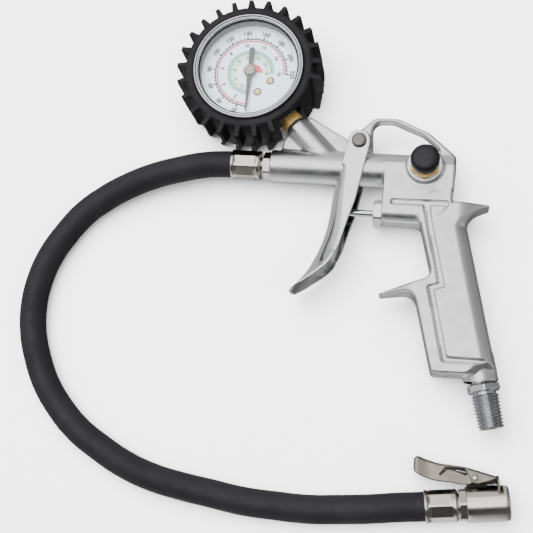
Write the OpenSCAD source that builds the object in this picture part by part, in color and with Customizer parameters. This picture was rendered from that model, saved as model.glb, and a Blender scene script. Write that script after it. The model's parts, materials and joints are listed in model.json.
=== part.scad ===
// Tyre inflator gun with a rubber-booted pressure gauge, a short hose and a lever clip-on chuck.
// The gun lies on its side. It is drawn in its own gun frame: the barrel runs along X from its nose
// at x = 0, the arch and gauge are towards +Y, the inlet is towards -Y, and z = 0 is the casting's
// parting plane. place() then moves it to the part's frame.

/* [Barrel and valve block] */
// Barrel radius
barrel_r = 8.5; // [8.2:0.1:8.7]
// Half thickness of the valve block
block_half = 8.7; // [8.6:0.05:8.8]
// Front face of the valve block, from the barrel nose
block_front = 59.5; // [59:0.25:60]
// Rear face of the valve block, from the barrel nose
block_rear = 94.8; // [94.5:0.1:95.2]
// Underside of the valve block, below the barrel axis
block_drop = 28.3; // [27.8:0.1:28.8]
// Radius of the air passage along the barrel
air_r = 4.0; // [3:0.25:4.5]
// Running clearance of every shaft in its hole
run_gap = 0.05; // [0.02:0.01:0.08]

/* [Handle] */
// Half thickness of the handle at its top
handle_half_top = 9.0; // [8.9:0.1:9.4]
// Half thickness of the handle at its foot
handle_half_foot = 10.9; // [10.5:0.1:11.2]
// Lean of the handle from square to the barrel, in degrees
handle_lean = 14.2; // [14:0.1:14.4]
// Radius of the neck that takes the inlet nipple
neck_r = 8.2; // [7.4:0.1:8.3]
// Depth of the cast line grooves
groove_depth = 1.0; // [0.4:0.1:1.4]

/* [Hook arch] */
// Half thickness of the hanging arch
arch_half = 3.4; // [3:0.1:4]

/* [Trigger] */
// Pivot of the trigger, along the barrel
pivot_x = 45.8; // [45.5:0.1:46]
// Pivot of the trigger, above the barrel axis
pivot_y = 12.8; // [12.6:0.1:13]
// Inner half width between the trigger's ears
ear_inner = 8.9; // [8.9:0.05:9]
// Thickness of the trigger's sheet steel
sheet = 1.2; // [1:0.1:1.4]
// Radius of the trigger pin
pin_r = 2.0; // [1.6:0.1:2.2]

/* [Main valve] */
// Height of the valve axis below the barrel axis
valve_drop = 23; // [22.8:0.1:23.2]
// Radius of the valve rod
rod_r = 1.8; // [1.6:0.1:1.9]
// Width across flats of the gland nut
gland_flats = 13.4; // [12.5:0.1:13.5]

/* [Release valve] */
// Place of the release valve along the barrel
release_x = 80; // [79.5:0.25:80.5]
// Radius of the round boss under the release valve
release_boss_r = 9.3; // [9:0.1:9.5]
// Radius of the push cap
cap_r = 7.2; // [6.8:0.1:7.3]
// Top of the push cap above the parting plane
cap_top = 22.4; // [22.2:0.1:22.6]

/* [Inlet] */
// Radius of the quarter-inch inlet thread over its crests
thread_r = 6.58; // [6.5:0.01:6.65]
// Length of the inlet thread
thread_l = 16; // [15:0.5:16.5]
// Width across flats of the inlet hexagon
inlet_flats = 15; // [13:0.25:15.5]

/* [Gauge] */
// Gauge centre along the barrel
gauge_x = -15; // [-15.2:0.1:-14.8]
// Gauge centre above the barrel axis
gauge_y = 48.8; // [48.6:0.1:49]
// Outer radius of the bezel
bezel_r = 29.25; // [29:0.05:29.5]
// Front of the bezel above the parting plane
bezel_front = 18; // [17.8:0.1:18.2]
// Level of the dial face
dial_level = 8.8; // [8.6:0.1:9]
// Radius of the rubber boot over its tread lugs
lug_r = 38.5; // [37.5:0.25:39]
// Radius of the rubber boot between its lugs
boot_r = 34.4; // [33.8:0.1:34.8]
// Tread lugs round a whole boot, before those beside the stem are left out
lug_count = 25; // [22:1:28]
// Back face of the boot below the parting plane
boot_back = 13.5; // [13.3:0.1:13.7]

/* [Gauge movement] */
// Tooth module of the sector gear and pinion
tooth_module = 0.3; // [0.3:0.05:0.3]
// Teeth on the pointer's pinion
pinion_teeth = 10; // [10:1:10]
// Teeth that a whole sector wheel would have
sector_teeth = 80; // [80:1:80]

/* [Hose] */
// Outer radius of the hose
hose_r = 7.0; // [6.5:0.1:7]
// Outer radius of the crimped ferrules
ferrule_r = 7.45; // [7.3:0.05:7.6]
// Length of each ferrule
ferrule_l = 16.0; // [15:0.2:16]

/* [Chuck] */
// Radius of the chuck body
chuck_r = 8.3; // [8.1:0.1:8.3]
// Radius of the mouth that takes the tyre valve
mouth_r = 4.1; // [4:0.05:4.2]
// Direction of the chuck in plan, in degrees
chuck_turn = 8.5; // [8:0.25:9]
// Radius of the lever's rivet
rivet_r = 1.25; // [1:0.05:1.3]

/* [Hidden] */
$fn = 48;

// Colours
cast_alu = [0.78, 0.79, 0.80];
bright_steel = [0.85, 0.86, 0.88];
dark_steel = [0.45, 0.45, 0.46];
warm_nickel = [0.72, 0.68, 0.62];
brass = [0.80, 0.64, 0.32];
black_rubber = [0.12, 0.12, 0.13];
fibre_brown = [0.22, 0.15, 0.11];

// Height of the parting plane above the surface that the gun lies on
rest_height = boot_back;
neck_axis = [sin(handle_lean), -cos(handle_lean)];
inlet_at = [114.7, -107.1];
inlet_end = 19.6;
inlet_chamfer = 0.9;
// The part's origin, below the middle of the object without its hose
frame_x = (gauge_x - lug_r + inlet_at[0] + (inlet_end - inlet_chamfer) * neck_axis[0]
    + thread_r * cos(handle_lean)) / 2;
frame_y = (gauge_y + lug_r + inlet_at[1] + inlet_end * neck_axis[1]
    - (thread_r - inlet_chamfer) * sin(handle_lean)) / 2;

module place() translate([-frame_x, -frame_y, rest_height]) children();

// Turns a local Z axis along the barrel, starting at x
module along_x(x, y = 0) translate([x, y, 0]) rotate([0, 90, 0]) children();

// Turns a local Z axis down the handle, starting t below the middle of the inlet hexagon
module down_handle(t) translate([inlet_at[0] + t * neck_axis[0], inlet_at[1] + t * neck_axis[1], 0])
    rotate([0, 0, -90 + handle_lean]) rotate([0, 90, 0]) children();

// The gauge stem points from the gauge centre to the barrel, at -45 degrees
stem_angle = -45;
module at_gauge(turn = 0) translate([gauge_x, gauge_y, 0]) rotate([0, 0, turn]) children();
module on_stem(t) at_gauge(stem_angle) translate([t, 0, 0]) rotate([0, 90, 0]) children();

// The chuck's own frame: X along it from the hose end to the mouth, Y towards its lever
chuck_at = [89.8, -165.4, chuck_r - rest_height];
module at_chuck() translate(chuck_at) rotate([0, 0, chuck_turn]) children();
module along_chuck(x) at_chuck() translate([x, 0, 0]) rotate([0, 90, 0]) children();

// A slab with the given outline between two heights
module slab(low, high) translate([0, 0, low]) linear_extrude(high - low) children();
module ring(outer, inner, h) difference() {
    cylinder(r = outer, h = h);
    translate([0, 0, -1]) cylinder(r = inner, h = h + 2);
}
// A hexagonal prism. turn is the angle of one of its corners from local X
module hexagon(flats, h, turn = 0) rotate([0, 0, turn]) cylinder(r = flats / sqrt(3), h = h, $fn = 6);

// An outline whose corners [x, y, r] are rounded to radius r
function unit(v) = v / norm(v);
function xy(p) = [p[0], p[1]];
function wrap(a) = a > 180 ? a - 360 : a < -180 ? a + 360 : a;
function corner(a, b, c, steps) = b[2] == 0 ? [xy(b)] :
    let (u = unit(xy(a) - xy(b)), v = unit(xy(c) - xy(b)), half = acos(u * v) / 2,
         mid = xy(b) + unit(u + v) * b[2] / sin(half),
         first = xy(b) + u * b[2] / tan(half) - mid,
         last = xy(b) + v * b[2] / tan(half) - mid,
         start = atan2(first[1], first[0]),
         turn = wrap(atan2(last[1], last[0]) - start))
    [for (i = [0:steps]) mid + b[2] * [cos(start + turn * i / steps), sin(start + turn * i / steps)]];
function rounded(p, steps = 5) = [for (i = [0:len(p) - 1])
    each corner(p[(i + len(p) - 1) % len(p)], p[i], p[(i + 1) % len(p)], steps)];

// ---- Casting ----

// Far end of the gauge boss from the gauge centre, and its radius
stem_top = 36.7;
boss_r = 6.5;
release_y = 0.6;
release_face = 10.5;
// Sockets for the hose tail and the gland nut, and the valve chamber
socket_r = 6.0;
gland_socket_r = 5.0;
chamber_r = 4.6;

block_outline = [[block_front, 5, 0], [block_front, -block_drop, 0.8], [84, -block_drop, 0],
    [94.2, -17, 0], [94.2, -10, 0], [block_rear, -10, 0], [block_rear, 5, 0]];
handle_outline = [[78, -17, 0], [78, -block_drop + 0.1, 0], [79.4, -block_drop, 1.5], [86.8, -55.4, 4.5],
    [61.4, -64.8, 0.5], [61.0, -66.6, 0.8], [78.4, -62.6, 6], [89.2, -102.8, 2], [104.6, -102.4, 0],
    [120.2, -98.4, 0], [118.9, -94.5, 0], [101.2, -23.0, 8], [112.6, -17.7, 0.9], [110.5, -16.5, 1.2],
    [94.2, -16.5, 0], [94.2, -12, 0], [84, -12, 0]];
// Side taper of the handle, seen along the barrel as [y, z]
handle_taper = [[-11, handle_half_top - 0.1], [-16.6, handle_half_top], [-103, handle_half_foot],
    [-103, -handle_half_foot], [-16.6, -handle_half_top], [-11, -handle_half_top + 0.1]];
arch_outline = [[44, 6, 0], [42.5, 18.2, 3], [52.4, 28.2, 6], [64.5, 28.2, 10], [81.0, 21.0, 14],
    [block_rear, 9.2, 3], [block_rear, 0, 0], [50, 0, 0]];
window_outline = [[52.4, 8.2, 1.2], [51.8, 25.6, 4.5], [62.0, 26.2, 9], [78.0, 19.6, 10],
    [88.2, 11.2, 3], [85.0, 8.2, 1.0]];
gusset_outline = [[4.2, 6, 0], [5.4, 15, 0], [10, 21, 0], [18.2, 28.0, 0.8], [38.6, 16.4, 2], [42, 12, 0],
    [42, 6, 0]];
slot_groove = [[64.2, -17.2, 1.0], [92.8, -17.0, 1.0], [92.8, -19.4, 1.0], [64.2, -19.6, 1.0]];
grip_groove = [[80.2, -19, 0], [81.9, -26, 0], [90.2, -59.0, 0.5], [85.0, -60.7, 0.5], [94.3, -97.3, 1.5],
    [118.4, -96.6, 0], [118.0, -94.8, 0], [96.2, -95.0, 1.5], [88.1, -62.2, 0.5], [93.3, -60.6, 0.5],
    [84.9, -27, 0], [83.6, -19, 0]];

module handle_solid() intersection() {
    slab(-12, 12) polygon(rounded(handle_outline));
    translate([50, 0, 0]) rotate([90, 0, 90]) linear_extrude(80) polygon(handle_taper);
}

module casting() {
    along_x(0) cylinder(r = barrel_r, h = block_rear);
    slab(-block_half, block_half) polygon(rounded(block_outline));
    handle_solid();
    difference() {
        slab(-arch_half, arch_half) polygon(rounded(arch_outline));
        slab(-arch_half - 1, arch_half + 1) polygon(rounded(window_outline));
    }
    translate([pivot_x, pivot_y, -8.6]) cylinder(r = 5.7, h = 17.2);
    slab(-5, 5) polygon([[41.5, 4], [41.5, 11], [50.5, 11], [50.5, 4]]);
    on_stem(stem_top) cylinder(r = boss_r, h = 30);
    slab(-1.5, 1.5) polygon(rounded(gusset_outline));
    translate([release_x, release_y, 4]) cylinder(r = release_boss_r, h = release_face - 4);
    down_handle(-16) cylinder(r = neck_r, h = 14);
}

module body() color(cast_alu) place() difference() {
    casting();
    // Barrel passage and the hose tail's socket
    along_x(-1) cylinder(r = air_r, h = release_x - 1);
    along_x(-1) cylinder(r = socket_r, h = 10);
    // Main valve chamber, its gland socket, and the ports above and below it
    along_x(block_front - 1, -valve_drop) cylinder(r = gland_socket_r, h = 8);
    along_x(block_front, -valve_drop) cylinder(r = chamber_r, h = 96 - block_front);
    translate([69.5, 0, 0]) rotate([90, 0, 0]) cylinder(r = 2.5, h = valve_drop);
    down_handle(-88) cylinder(r = air_r, h = 80);
    // Inlet socket
    down_handle(-11) cylinder(r = 5.25, h = 12);
    // Gauge port and socket
    on_stem(stem_top - 1) cylinder(r = 4.9, h = 10);
    on_stem(stem_top) cylinder(r = 2.0, h = 32);
    // Release valve
    translate([release_x, release_y, 1.5]) cylinder(r = 5.0, h = 12);
    translate([release_x, release_y, -4.5]) cylinder(r = 3.8, h = 10);
    // Trigger pin
    translate([pivot_x, pivot_y, -10]) cylinder(r = pin_r + run_gap, h = 20);
    // Cast line grooves on both sides
    for (side = [0, 1]) mirror([0, 0, side]) {
        slab(block_half - groove_depth, 12) polygon(rounded(slot_groove));
        intersection() {
            slab(5, 13) polygon(rounded(grip_groove));
            translate([50, 0, 0]) rotate([90, 0, 90]) linear_extrude(80)
                polygon([[-10, handle_half_top - groove_depth], [-103, handle_half_foot - groove_depth],
                    [-103, 14], [-10, 14]]);
        }
    }
}

// ---- Trigger and its pin ----

flange_outline = [[39.9, 18.6, 5.4], [51.7, 18.6, 5.4], [51.4, 10.5, 3], [46.2, -19.2, 12], [43.4, -29.2, 20],
    [39.7, -43.1, 20], [36.4, -53.4, 1.2], [33.6, -50.6, 1.2], [36.6, -43, 8], [37.4, -34, 10],
    [36.2, -9, 0], [37.6, -2, 2], [39.7, 11, 3]];
web_front = [[34.9, -9.2, 0], [34.4, -17, 20], [33.4, -27, 30], [32.0, -36, 40], [29.4, -46.4, 40],
    [25.7, -54.5, 25], [20.8, -59.9, 20], [15.2, -64.9, 0.5]];
web_back = [[15.9, -65.8, 0.5], [21.6, -60.9, 20], [26.8, -55.2, 25], [30.7, -46.8, 40], [33.4, -36, 40],
    [34.8, -27, 30], [35.8, -17, 20], [36.3, -9.2, 0]];
// The middle of the web stands this far in front of its sides
web_step = 1.2;
web_half = 4.5;

module trigger() color(bright_steel) place() difference() {
    union() {
        for (side = [0, 1]) mirror([0, 0, side])
            slab(ear_inner, ear_inner + sheet) polygon(rounded(flange_outline, 3));
        slab(-web_half, web_half) polygon(rounded(concat(web_front, web_back), 3));
        for (side = [0, 1]) mirror([0, 0, side]) intersection() {
            translate([web_step, 0.3, 0]) slab(web_half - 0.2, ear_inner + sheet)
                polygon(rounded(concat(web_front, web_back), 3));
            slab(0, 11) polygon([[28.5, -4], [39, -4], [39, -53], [28.5, -53]]);
        }
    }
    translate([pivot_x, pivot_y, -12]) cylinder(r = pin_r + run_gap, h = 24);
}

module trigger_pin() color(dark_steel) place() translate([pivot_x, pivot_y, 0]) difference() {
    union() {
        translate([0, 0, -12]) cylinder(r = pin_r, h = 22.3);
        translate([0, 0, 10.2]) cylinder(r = 3.9, h = 0.9);
        translate([0, 0, 11.1]) cylinder(r1 = 3.9, r2 = 3.4, h = 0.5);
    }
    translate([0, 0, -11.4]) ring(4, pin_r - 0.5, 0.8);
}

module pin_clip() color(dark_steel) place() translate([pivot_x, pivot_y, -11.35]) difference() {
    cylinder(r = 3.4, h = 0.7);
    translate([0, 0, -1]) cylinder(r = pin_r - 0.5 + 0.02, h = 3);
    translate([0, -1.2, -1]) cube([5, 2.4, 3]);
}

// ---- Main valve ----

rod_start = 35.35;
seat_at = 72.5;
poppet_at = 76.8;

module valve_rod() color(bright_steel) place() {
    along_x(rod_start + 1, -valve_drop) {
        cylinder(r = rod_r, h = poppet_at - rod_start);
        translate([0, 0, -1]) cylinder(r1 = 1.0, r2 = rod_r, h = 1);
    }
    along_x(poppet_at, -valve_drop) cylinder(r = 3.9, h = 2.4);
    along_x(poppet_at + 2.4, -valve_drop) cylinder(r = 2.3, h = 3.5);
}

module poppet_seal() color(black_rubber) place()
    along_x(seat_at + 3.05, -valve_drop) ring(3.7, rod_r, poppet_at - seat_at - 3.05);

module valve_seat() color(brass) place() along_x(seat_at, -valve_drop) ring(chamber_r, 2.6, 3);

// A closed coil spring, drawn as rings joined by struts, along local Z
module coil_spring(radius, wire, length, turns) {
    for (i = [0:turns]) translate([0, 0, wire + i * (length - 2 * wire) / turns])
        rotate_extrude() translate([radius, 0]) circle(r = wire, $fn = 16);
    for (i = [0:turns - 1]) rotate([0, 0, 180 * (i % 2)])
        translate([radius, 0, wire + i * (length - 2 * wire) / turns])
            cylinder(r = wire * 0.8, h = (length - 2 * wire) / turns, $fn = 16);
}

module valve_spring() color(bright_steel) place()
    along_x(poppet_at + 2.42, -valve_drop) coil_spring(3.0, 0.45, 96 - poppet_at - 2.5, 7);

module gland_nut() color(bright_steel) place() difference() {
    union() {
        intersection() {
            along_x(55.5, -valve_drop) hexagon(gland_flats, 3.95, 30);
            along_x(55.5, -valve_drop) cylinder(r1 = 7.1, r2 = 11.1, h = 4);
        }
        along_x(59.4, -valve_drop) cylinder(r = gland_socket_r - run_gap, h = 6.8);
    }
    along_x(50, -valve_drop) cylinder(r = rod_r + run_gap, h = 30);
    along_x(63, -valve_drop) cylinder(r = 3.0, h = 6);
}

module gland_ring() color(black_rubber) place()
    along_x(63.9, -valve_drop) rotate_extrude()
        translate([rod_r + run_gap + 0.55, 0]) circle(r = 0.55, $fn = 20);

// ---- Inlet ----

module inlet_nipple() color(bright_steel) place() difference() {
    union() {
        down_handle(-10) cylinder(r = 5.2, h = 10);
        intersection() {
            down_handle(-1.4) hexagon(inlet_flats, 3.4);
            down_handle(-1.4) cylinder(r1 = 10.9, r2 = 7.5, h = 3.4);
        }
        down_handle(1.9) cylinder(r = 5.6, h = 1.8);
        down_handle(inlet_end - thread_l) rotate_extrude() polygon([[0, 0], [thread_r, 0],
            [thread_r, thread_l - inlet_chamfer], [thread_r - inlet_chamfer, thread_l], [0, thread_l]]);
    }
    down_handle(-11) cylinder(r = 3.8, h = inlet_end + 12);
}

module inlet_washer() color(fibre_brown) place() down_handle(-1.98) ring(6.9, 5.25, 0.56);

module inlet_filter() color(brass) place() down_handle(-9.4) difference() {
    cylinder(r = 3.78, h = 4);
    translate([0, 0, 1]) cylinder(r = 2.6, h = 4);
}

// ---- Release valve ----

module release_body() color(brass) place() translate([release_x, release_y, 0]) difference() {
    union() {
        translate([0, 0, 1.5]) cylinder(r = 4.95, h = 9.1);
        intersection() {
            translate([0, 0, release_face + 0.02]) hexagon(14, 3.4, 30);
            translate([0, 0, release_face]) cylinder(r1 = 11.2, r2 = 7.4, h = 3.5);
        }
    }
    cylinder(r = 1.65 + run_gap, h = 20);
    cylinder(r = 2.4, h = 5);
    translate([0, 0, 8]) cylinder(r = 3.6, h = 12);
}

cap_bottom = 16.4;
module release_cap() color(black_rubber) place() translate([release_x, release_y, 0]) difference() {
    union() {
        translate([0, 0, cap_bottom]) cylinder(r = cap_r, h = cap_top - cap_bottom - 1.4);
        translate([0, 0, cap_top - 1.4]) cylinder(r1 = cap_r, r2 = cap_r - 1.2, h = 1.0);
        translate([0, 0, cap_top - 0.4]) cylinder(r1 = cap_r - 1.2, r2 = cap_r - 3.4, h = 0.4);
    }
    translate([0, 0, cap_bottom - 1]) cylinder(r = 4.0, h = 2.8);
    cylinder(r = 1.65, h = 20);
}

module release_stem() color(bright_steel) place() translate([release_x, release_y, 0]) {
    translate([0, 0, -1.0]) cylinder(r = 1.6, h = 21);
    translate([0, 0, -1.0]) cylinder(r = 3.4, h = 1.5);
}

module release_seal() color(black_rubber) place()
    translate([release_x, release_y, 0.5]) ring(3.2, 1.6, 0.95);

module release_spring() color(bright_steel) place()
    translate([release_x, release_y, 8.02]) coil_spring(2.8, 0.35, 10.1, 6);

// ---- Gauge ----

case_r = 27.8;
case_back = -11;
case_front = 14;

module gauge_socket() color(brass) place() difference() {
    union() {
        intersection() {
            on_stem(29) hexagon(10, 6.8, 30);
            on_stem(29) cylinder(r1 = 9, r2 = 5.3, h = 6.8);
        }
        on_stem(20) cylinder(r = 4.4, h = 10);
        on_stem(35.5) cylinder(r = 4.85, h = 9.5);
        at_gauge(stem_angle) translate([17.2, -5, -7.4]) cube([9, 10, 10.8]);
    }
    on_stem(20) cylinder(r = 1.5, h = 30);
}

module gauge_washer() color(fibre_brown) place() on_stem(35.84) ring(5.3, 4.9, 0.84);

module gauge_case() color(dark_steel) place() difference() {
    at_gauge() translate([0, 0, case_back]) cylinder(r = case_r, h = case_front - case_back);
    at_gauge() translate([0, 0, case_back + 1.2]) cylinder(r = case_r - 1, h = 40);
    on_stem(20) cylinder(r = 4.45, h = 12);
    at_gauge() translate([0, 12, case_back - 1]) cylinder(r = 4, h = 4);
}

module case_plug() color(black_rubber) place() at_gauge() translate([0, 12, 0]) {
    translate([0, 0, case_back - 0.5]) cylinder(r = 3.98, h = 2.6);
    translate([0, 0, case_back + 1.21]) cylinder(r = 5, h = 0.9);
}

module gauge_bezel() color(bright_steel) place() at_gauge() rotate_extrude($fn = 96) polygon([
    [case_r + 0.02, 10.6], [bezel_r, 10.6], [bezel_r, bezel_front - 0.6], [bezel_r - 0.6, bezel_front],
    [bezel_r - 1.5, bezel_front], [bezel_r - 2.5, bezel_front - 0.9], [bezel_r - 2.5, 16.0],
    [case_r + 0.02, 16.0]]);

module gauge_lens() color([0.85, 0.9, 0.92, 0.35]) place() at_gauge()
    translate([0, 0, 14.1]) cylinder(r = case_r - 0.1, h = 1.85, $fn = 96);

// Screws on the dial, and their directions from its centre
screw_ring = 12;
screw_turns = [-22, -66];
module gauge_dial() color([0.93, 0.95, 0.97]) place() at_gauge() difference() {
    translate([0, 0, dial_level - 0.6]) cylinder(r = case_r - 1.1, h = 0.6, $fn = 96);
    translate([0, 0, dial_level - 2]) cylinder(r = 1.6, h = 4);
    for (turn = screw_turns) rotate([0, 0, turn])
        translate([screw_ring, 0, dial_level - 2]) cylinder(r = 0.85, h = 4);
}

module dial_screws() color(warm_nickel) place() at_gauge() for (turn = screw_turns)
    rotate([0, 0, turn]) translate([screw_ring, 0, 0]) difference() {
        union() {
            translate([0, 0, 4.4]) cylinder(r = 0.8, h = 4.5);
            translate([0, 0, dial_level + 0.01]) cylinder(r1 = 1.55, r2 = 1.2, h = 0.8);
        }
        rotate([0, 0, 35]) translate([-2, -0.2, dial_level + 0.45]) cube([4, 0.4, 1]);
    }

// The pointer rests on zero, straight down the dial
pointer_level = 10.4;
module gauge_pointer() color([0.1, 0.1, 0.1]) place() at_gauge() difference() {
    union() {
        translate([0, 0, pointer_level]) cylinder(r = 3.3, h = 1.2);
        slab(pointer_level + 0.2, pointer_level + 0.7)
            polygon([[-1.5, 0], [-0.35, -22.6], [0, -23.0], [0.35, -22.6], [1.5, 0]]);
        slab(pointer_level + 0.2, pointer_level + 0.7)
            polygon([[-1.1, 0], [-1.5, 12.6], [0, 13.7], [1.5, 12.6], [1.1, 0]]);
    }
    translate([0, 0, pointer_level - 1]) cylinder(r = 0.5, h = 3);
}

// Involute gear outline. thin is the angle that each tooth is thinned by, for backlash.
function involute(base, a) = [base * (cos(a) + a * PI / 180 * sin(a)),
    base * (sin(a) - a * PI / 180 * cos(a))];
function turned(p, a) = [p[0] * cos(a) - p[1] * sin(a), p[0] * sin(a) + p[1] * cos(a)];
function flipped(p) = [p[0], -p[1]];
pressure_angle = 20;
function tooth(m, n, thin, add, ded) =
    let (pitch = m * n / 2, base = pitch * cos(pressure_angle), root = pitch - ded * m, tip = pitch + add * m,
         first = root > base ? sqrt(pow(root / base, 2) - 1) * 180 / PI : 0,
         last = sqrt(pow(tip / base, 2) - 1) * 180 / PI,
         half = 90 / n - thin + (tan(pressure_angle) * 180 / PI - pressure_angle),
         side = [for (i = [0:4]) turned(involute(base, first + (last - first) * i / 4), -half)],
         foot = turned(unit(side[0]) * root, 0))
    concat([foot], side, [for (i = [4:-1:0]) flipped(side[i])], [flipped(foot)]);
function gear_teeth(m, n, thin, add, ded, from, to) =
    [for (i = [from:to]) each [for (p = tooth(m, n, thin, add, ded)) turned(p, i * 360 / n)]];

pinion_r = tooth_module * pinion_teeth / 2;
sector_r = tooth_module * sector_teeth / 2;
sector_at = pinion_r + sector_r;
gear_low = -1.6;

module pointer_arbor() color(brass) place() at_gauge() {
    translate([0, 0, -5.4]) cylinder(r = 0.45, h = 17.4);
    // A tooth gap faces the sector, which stands a tooth there
    slab(gear_low - 0.3, gear_low + 1.6) rotate([0, 0, stem_angle + 180 / pinion_teeth])
        polygon(gear_teeth(tooth_module, pinion_teeth, 2.2, 0.9, 1.25, 0, pinion_teeth - 1));
    translate([0, 0, pointer_level + 1.2]) cylinder(r = 2.5, h = 1.5);
    translate([0, 0, 1.0]) cylinder(r = 0.8, h = 1.0);
}

sector_low_teeth = -10;
sector_high_teeth = 3;
tail_l = 5;
module sector_gear() color(brass) place() at_gauge(stem_angle) translate([sector_at, 0, 0]) {
        // Toothed rim, which faces the gauge centre
        slab(gear_low, gear_low + 1.3) rotate([0, 0, 180]) polygon(concat(
            [[0, 0]],
            [turned([sector_r - 0.9, 0], (sector_low_teeth - 0.6) * 360 / sector_teeth)],
            gear_teeth(tooth_module, sector_teeth, 0.28, 0.75, 1.25, sector_low_teeth, sector_high_teeth),
            [turned([sector_r - 0.9, 0], (sector_high_teeth + 0.6) * 360 / sector_teeth)]));
        slab(gear_low, gear_low + 1.3)
            polygon([[-1.5, -0.6], [1.2, -0.6], [1.2, tail_l], [-1.2, tail_l], [-1.5, 2]]);
        translate([0, tail_l, gear_low]) cylinder(r = 1.2, h = 1.3);
        translate([0, tail_l, gear_low]) cylinder(r = 0.5, h = 2.4);
        translate([0, 0, -5.4]) cylinder(r = 0.5, h = 9.1);
        translate([0, 0, gear_low]) cylinder(r = 1.5, h = 1.3);
}

// Link from the sector's tail to the tube tip. Its far eye is a slot, the linkage's open pivot.
tube_r = 20;
tip_at = [0, tube_r];
link_level = gear_low + 1.35;
slot_l = 3.2;
slot_half = 0.95;
slot_turn = 17;
module gauge_link() color(brass) place() at_gauge(stem_angle) difference() {
    union() {
        slab(link_level, link_level + 0.6) polygon([[sector_at - 0.9, tail_l - 0.5],
            [sector_at + 0.7, tail_l + 0.7], [3.4, 21.4], [1.2, 18.8]]);
        translate([sector_at, tail_l, link_level]) cylinder(r = 1.2, h = 0.6);
        translate([1.4, tip_at[1] + 0.4, link_level]) cylinder(r = 3.2, h = 0.6);
    }
    translate([sector_at, tail_l, link_level - 1]) cylinder(r = 0.55, h = 3);
    translate([tip_at[0], tip_at[1], link_level - 1]) rotate([0, 0, slot_turn]) {
        translate([0, -slot_half, 0]) cube([slot_l, 2 * slot_half, 3]);
        cylinder(r = slot_half, h = 3);
        translate([slot_l, 0, 0]) cylinder(r = slot_half, h = 3);
    }
}

plate_outline = [[-4, -3, 2.5], [-4, 3, 2.5], [10, 8, 2], [17.1, 8, 0.5], [17.1, -8, 0.5], [10, -8, 2]];
module movement_plates() color(brass) place() at_gauge(stem_angle) for (z = [-5.2, 3.0]) difference() {
    slab(z, z + 0.9) polygon(rounded(plate_outline, 3));
    translate([0, 0, z - 1]) cylinder(r = 0.5, h = 3);
    translate([sector_at, 0, z - 1]) cylinder(r = 0.55, h = 3);
}

module movement_pillars() color(brass) place() at_gauge(stem_angle)
    for (at = [[15.7, 6.4], [15.7, -6.4], [10.8, -6.6]])
        translate([at[0], at[1], -4.28]) cylinder(r = 0.8, h = 7.26);

// Flat spiral from the arbor's collet outwards
spiral_turns = 3.25;
spiral_pitch = 0.75;
function spiral(offset) = [for (i = [0:spiral_turns * 24])
    let (a = i * 15, r = 1.1 + spiral_pitch * a / 360 + offset) [r * cos(a), r * sin(a)]];
module hairspring() color(bright_steel) place() at_gauge(stem_angle) slab(1.2, 1.8) {
    inner = spiral(0);
    outer = spiral(0.15);
    polygon(concat(inner, [for (i = [len(outer) - 1:-1:0]) outer[i]]));
}

tube_low = -7;
module tube_arc(half, low, high, from, to) rotate([0, 0, from])
    rotate_extrude(angle = to - from, $fn = 96)
        translate([tube_r - half, low]) square([2 * half, high - low]);
module bourdon_tube() color(brass) place() at_gauge(stem_angle) difference() {
    tube_arc(0.8, tube_low, tube_low + 6, 94, 346);
    tube_arc(0.5, tube_low + 0.3, tube_low + 5.7, 94, 346);
}

// Cap on the tube's free end, with the pin that the link's slot runs on
module tube_tip() color(brass) place() at_gauge(stem_angle) {
    difference() {
        translate([-3.4, tube_r - 1.5, tube_low - 0.4]) cube([4.6, 3, 6.8]);
        tube_arc(0.82, tube_low - 0.02, tube_low + 6.02, 93.9, 120);
    }
    translate([tip_at[0], tip_at[1], tube_low + 6]) cylinder(r = 0.6, h = 1.7);
}

// Rubber boot with thin tread lugs. Their rear halves lean over, and none stands beside the stem.
lug_first = 50.5;
lug_lean = -4.5;
function lug(turn) = [for (c = [[boot_r - 1.2, -1.9], [lug_r, -1.2], [lug_r, 1.2], [boot_r - 1.2, 1.9]])
    turned(c, turn)];
module tread(low, high, lean) for (i = [0:lug_count - 1]) {
    at = wrap(lug_first + i * 360 / lug_count);
    if (at < stem_angle - 15 || at > stem_angle + 25) slab(low, high) polygon(lug(at + lean));
}
module gauge_boot() color(black_rubber) place() difference() {
    at_gauge() union() {
        translate([0, 0, -boot_back]) cylinder(r1 = boot_r - 2, r2 = boot_r, h = 3, $fn = 96);
        translate([0, 0, 3 - boot_back]) cylinder(r = boot_r, h = boot_back - 3 + 13, $fn = 96);
        translate([0, 0, 13]) cylinder(r1 = boot_r, r2 = boot_r - 0.8, h = 3.8, $fn = 96);
        tread(-13, 0.5, lug_lean);
        tread(0, 16, 0);
    }
    at_gauge() translate([0, 0, case_back - 0.05]) cylinder(r = case_r + 0.05, h = 40, $fn = 96);
    at_gauge() translate([0, 0, 10.55]) cylinder(r = bezel_r + 0.05, h = 40, $fn = 96);
    at_gauge() translate([0, 0, -20]) cylinder(r = 19, h = 30, $fn = 96);
    // Arched notch round the stem
    on_stem(20) linear_extrude(30)
        polygon(rounded([[20, -8, 0], [20, 8, 0], [-12.8, 8, 3], [-12.8, -8, 3]]));
}

// ---- Hose and its fittings ----

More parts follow.
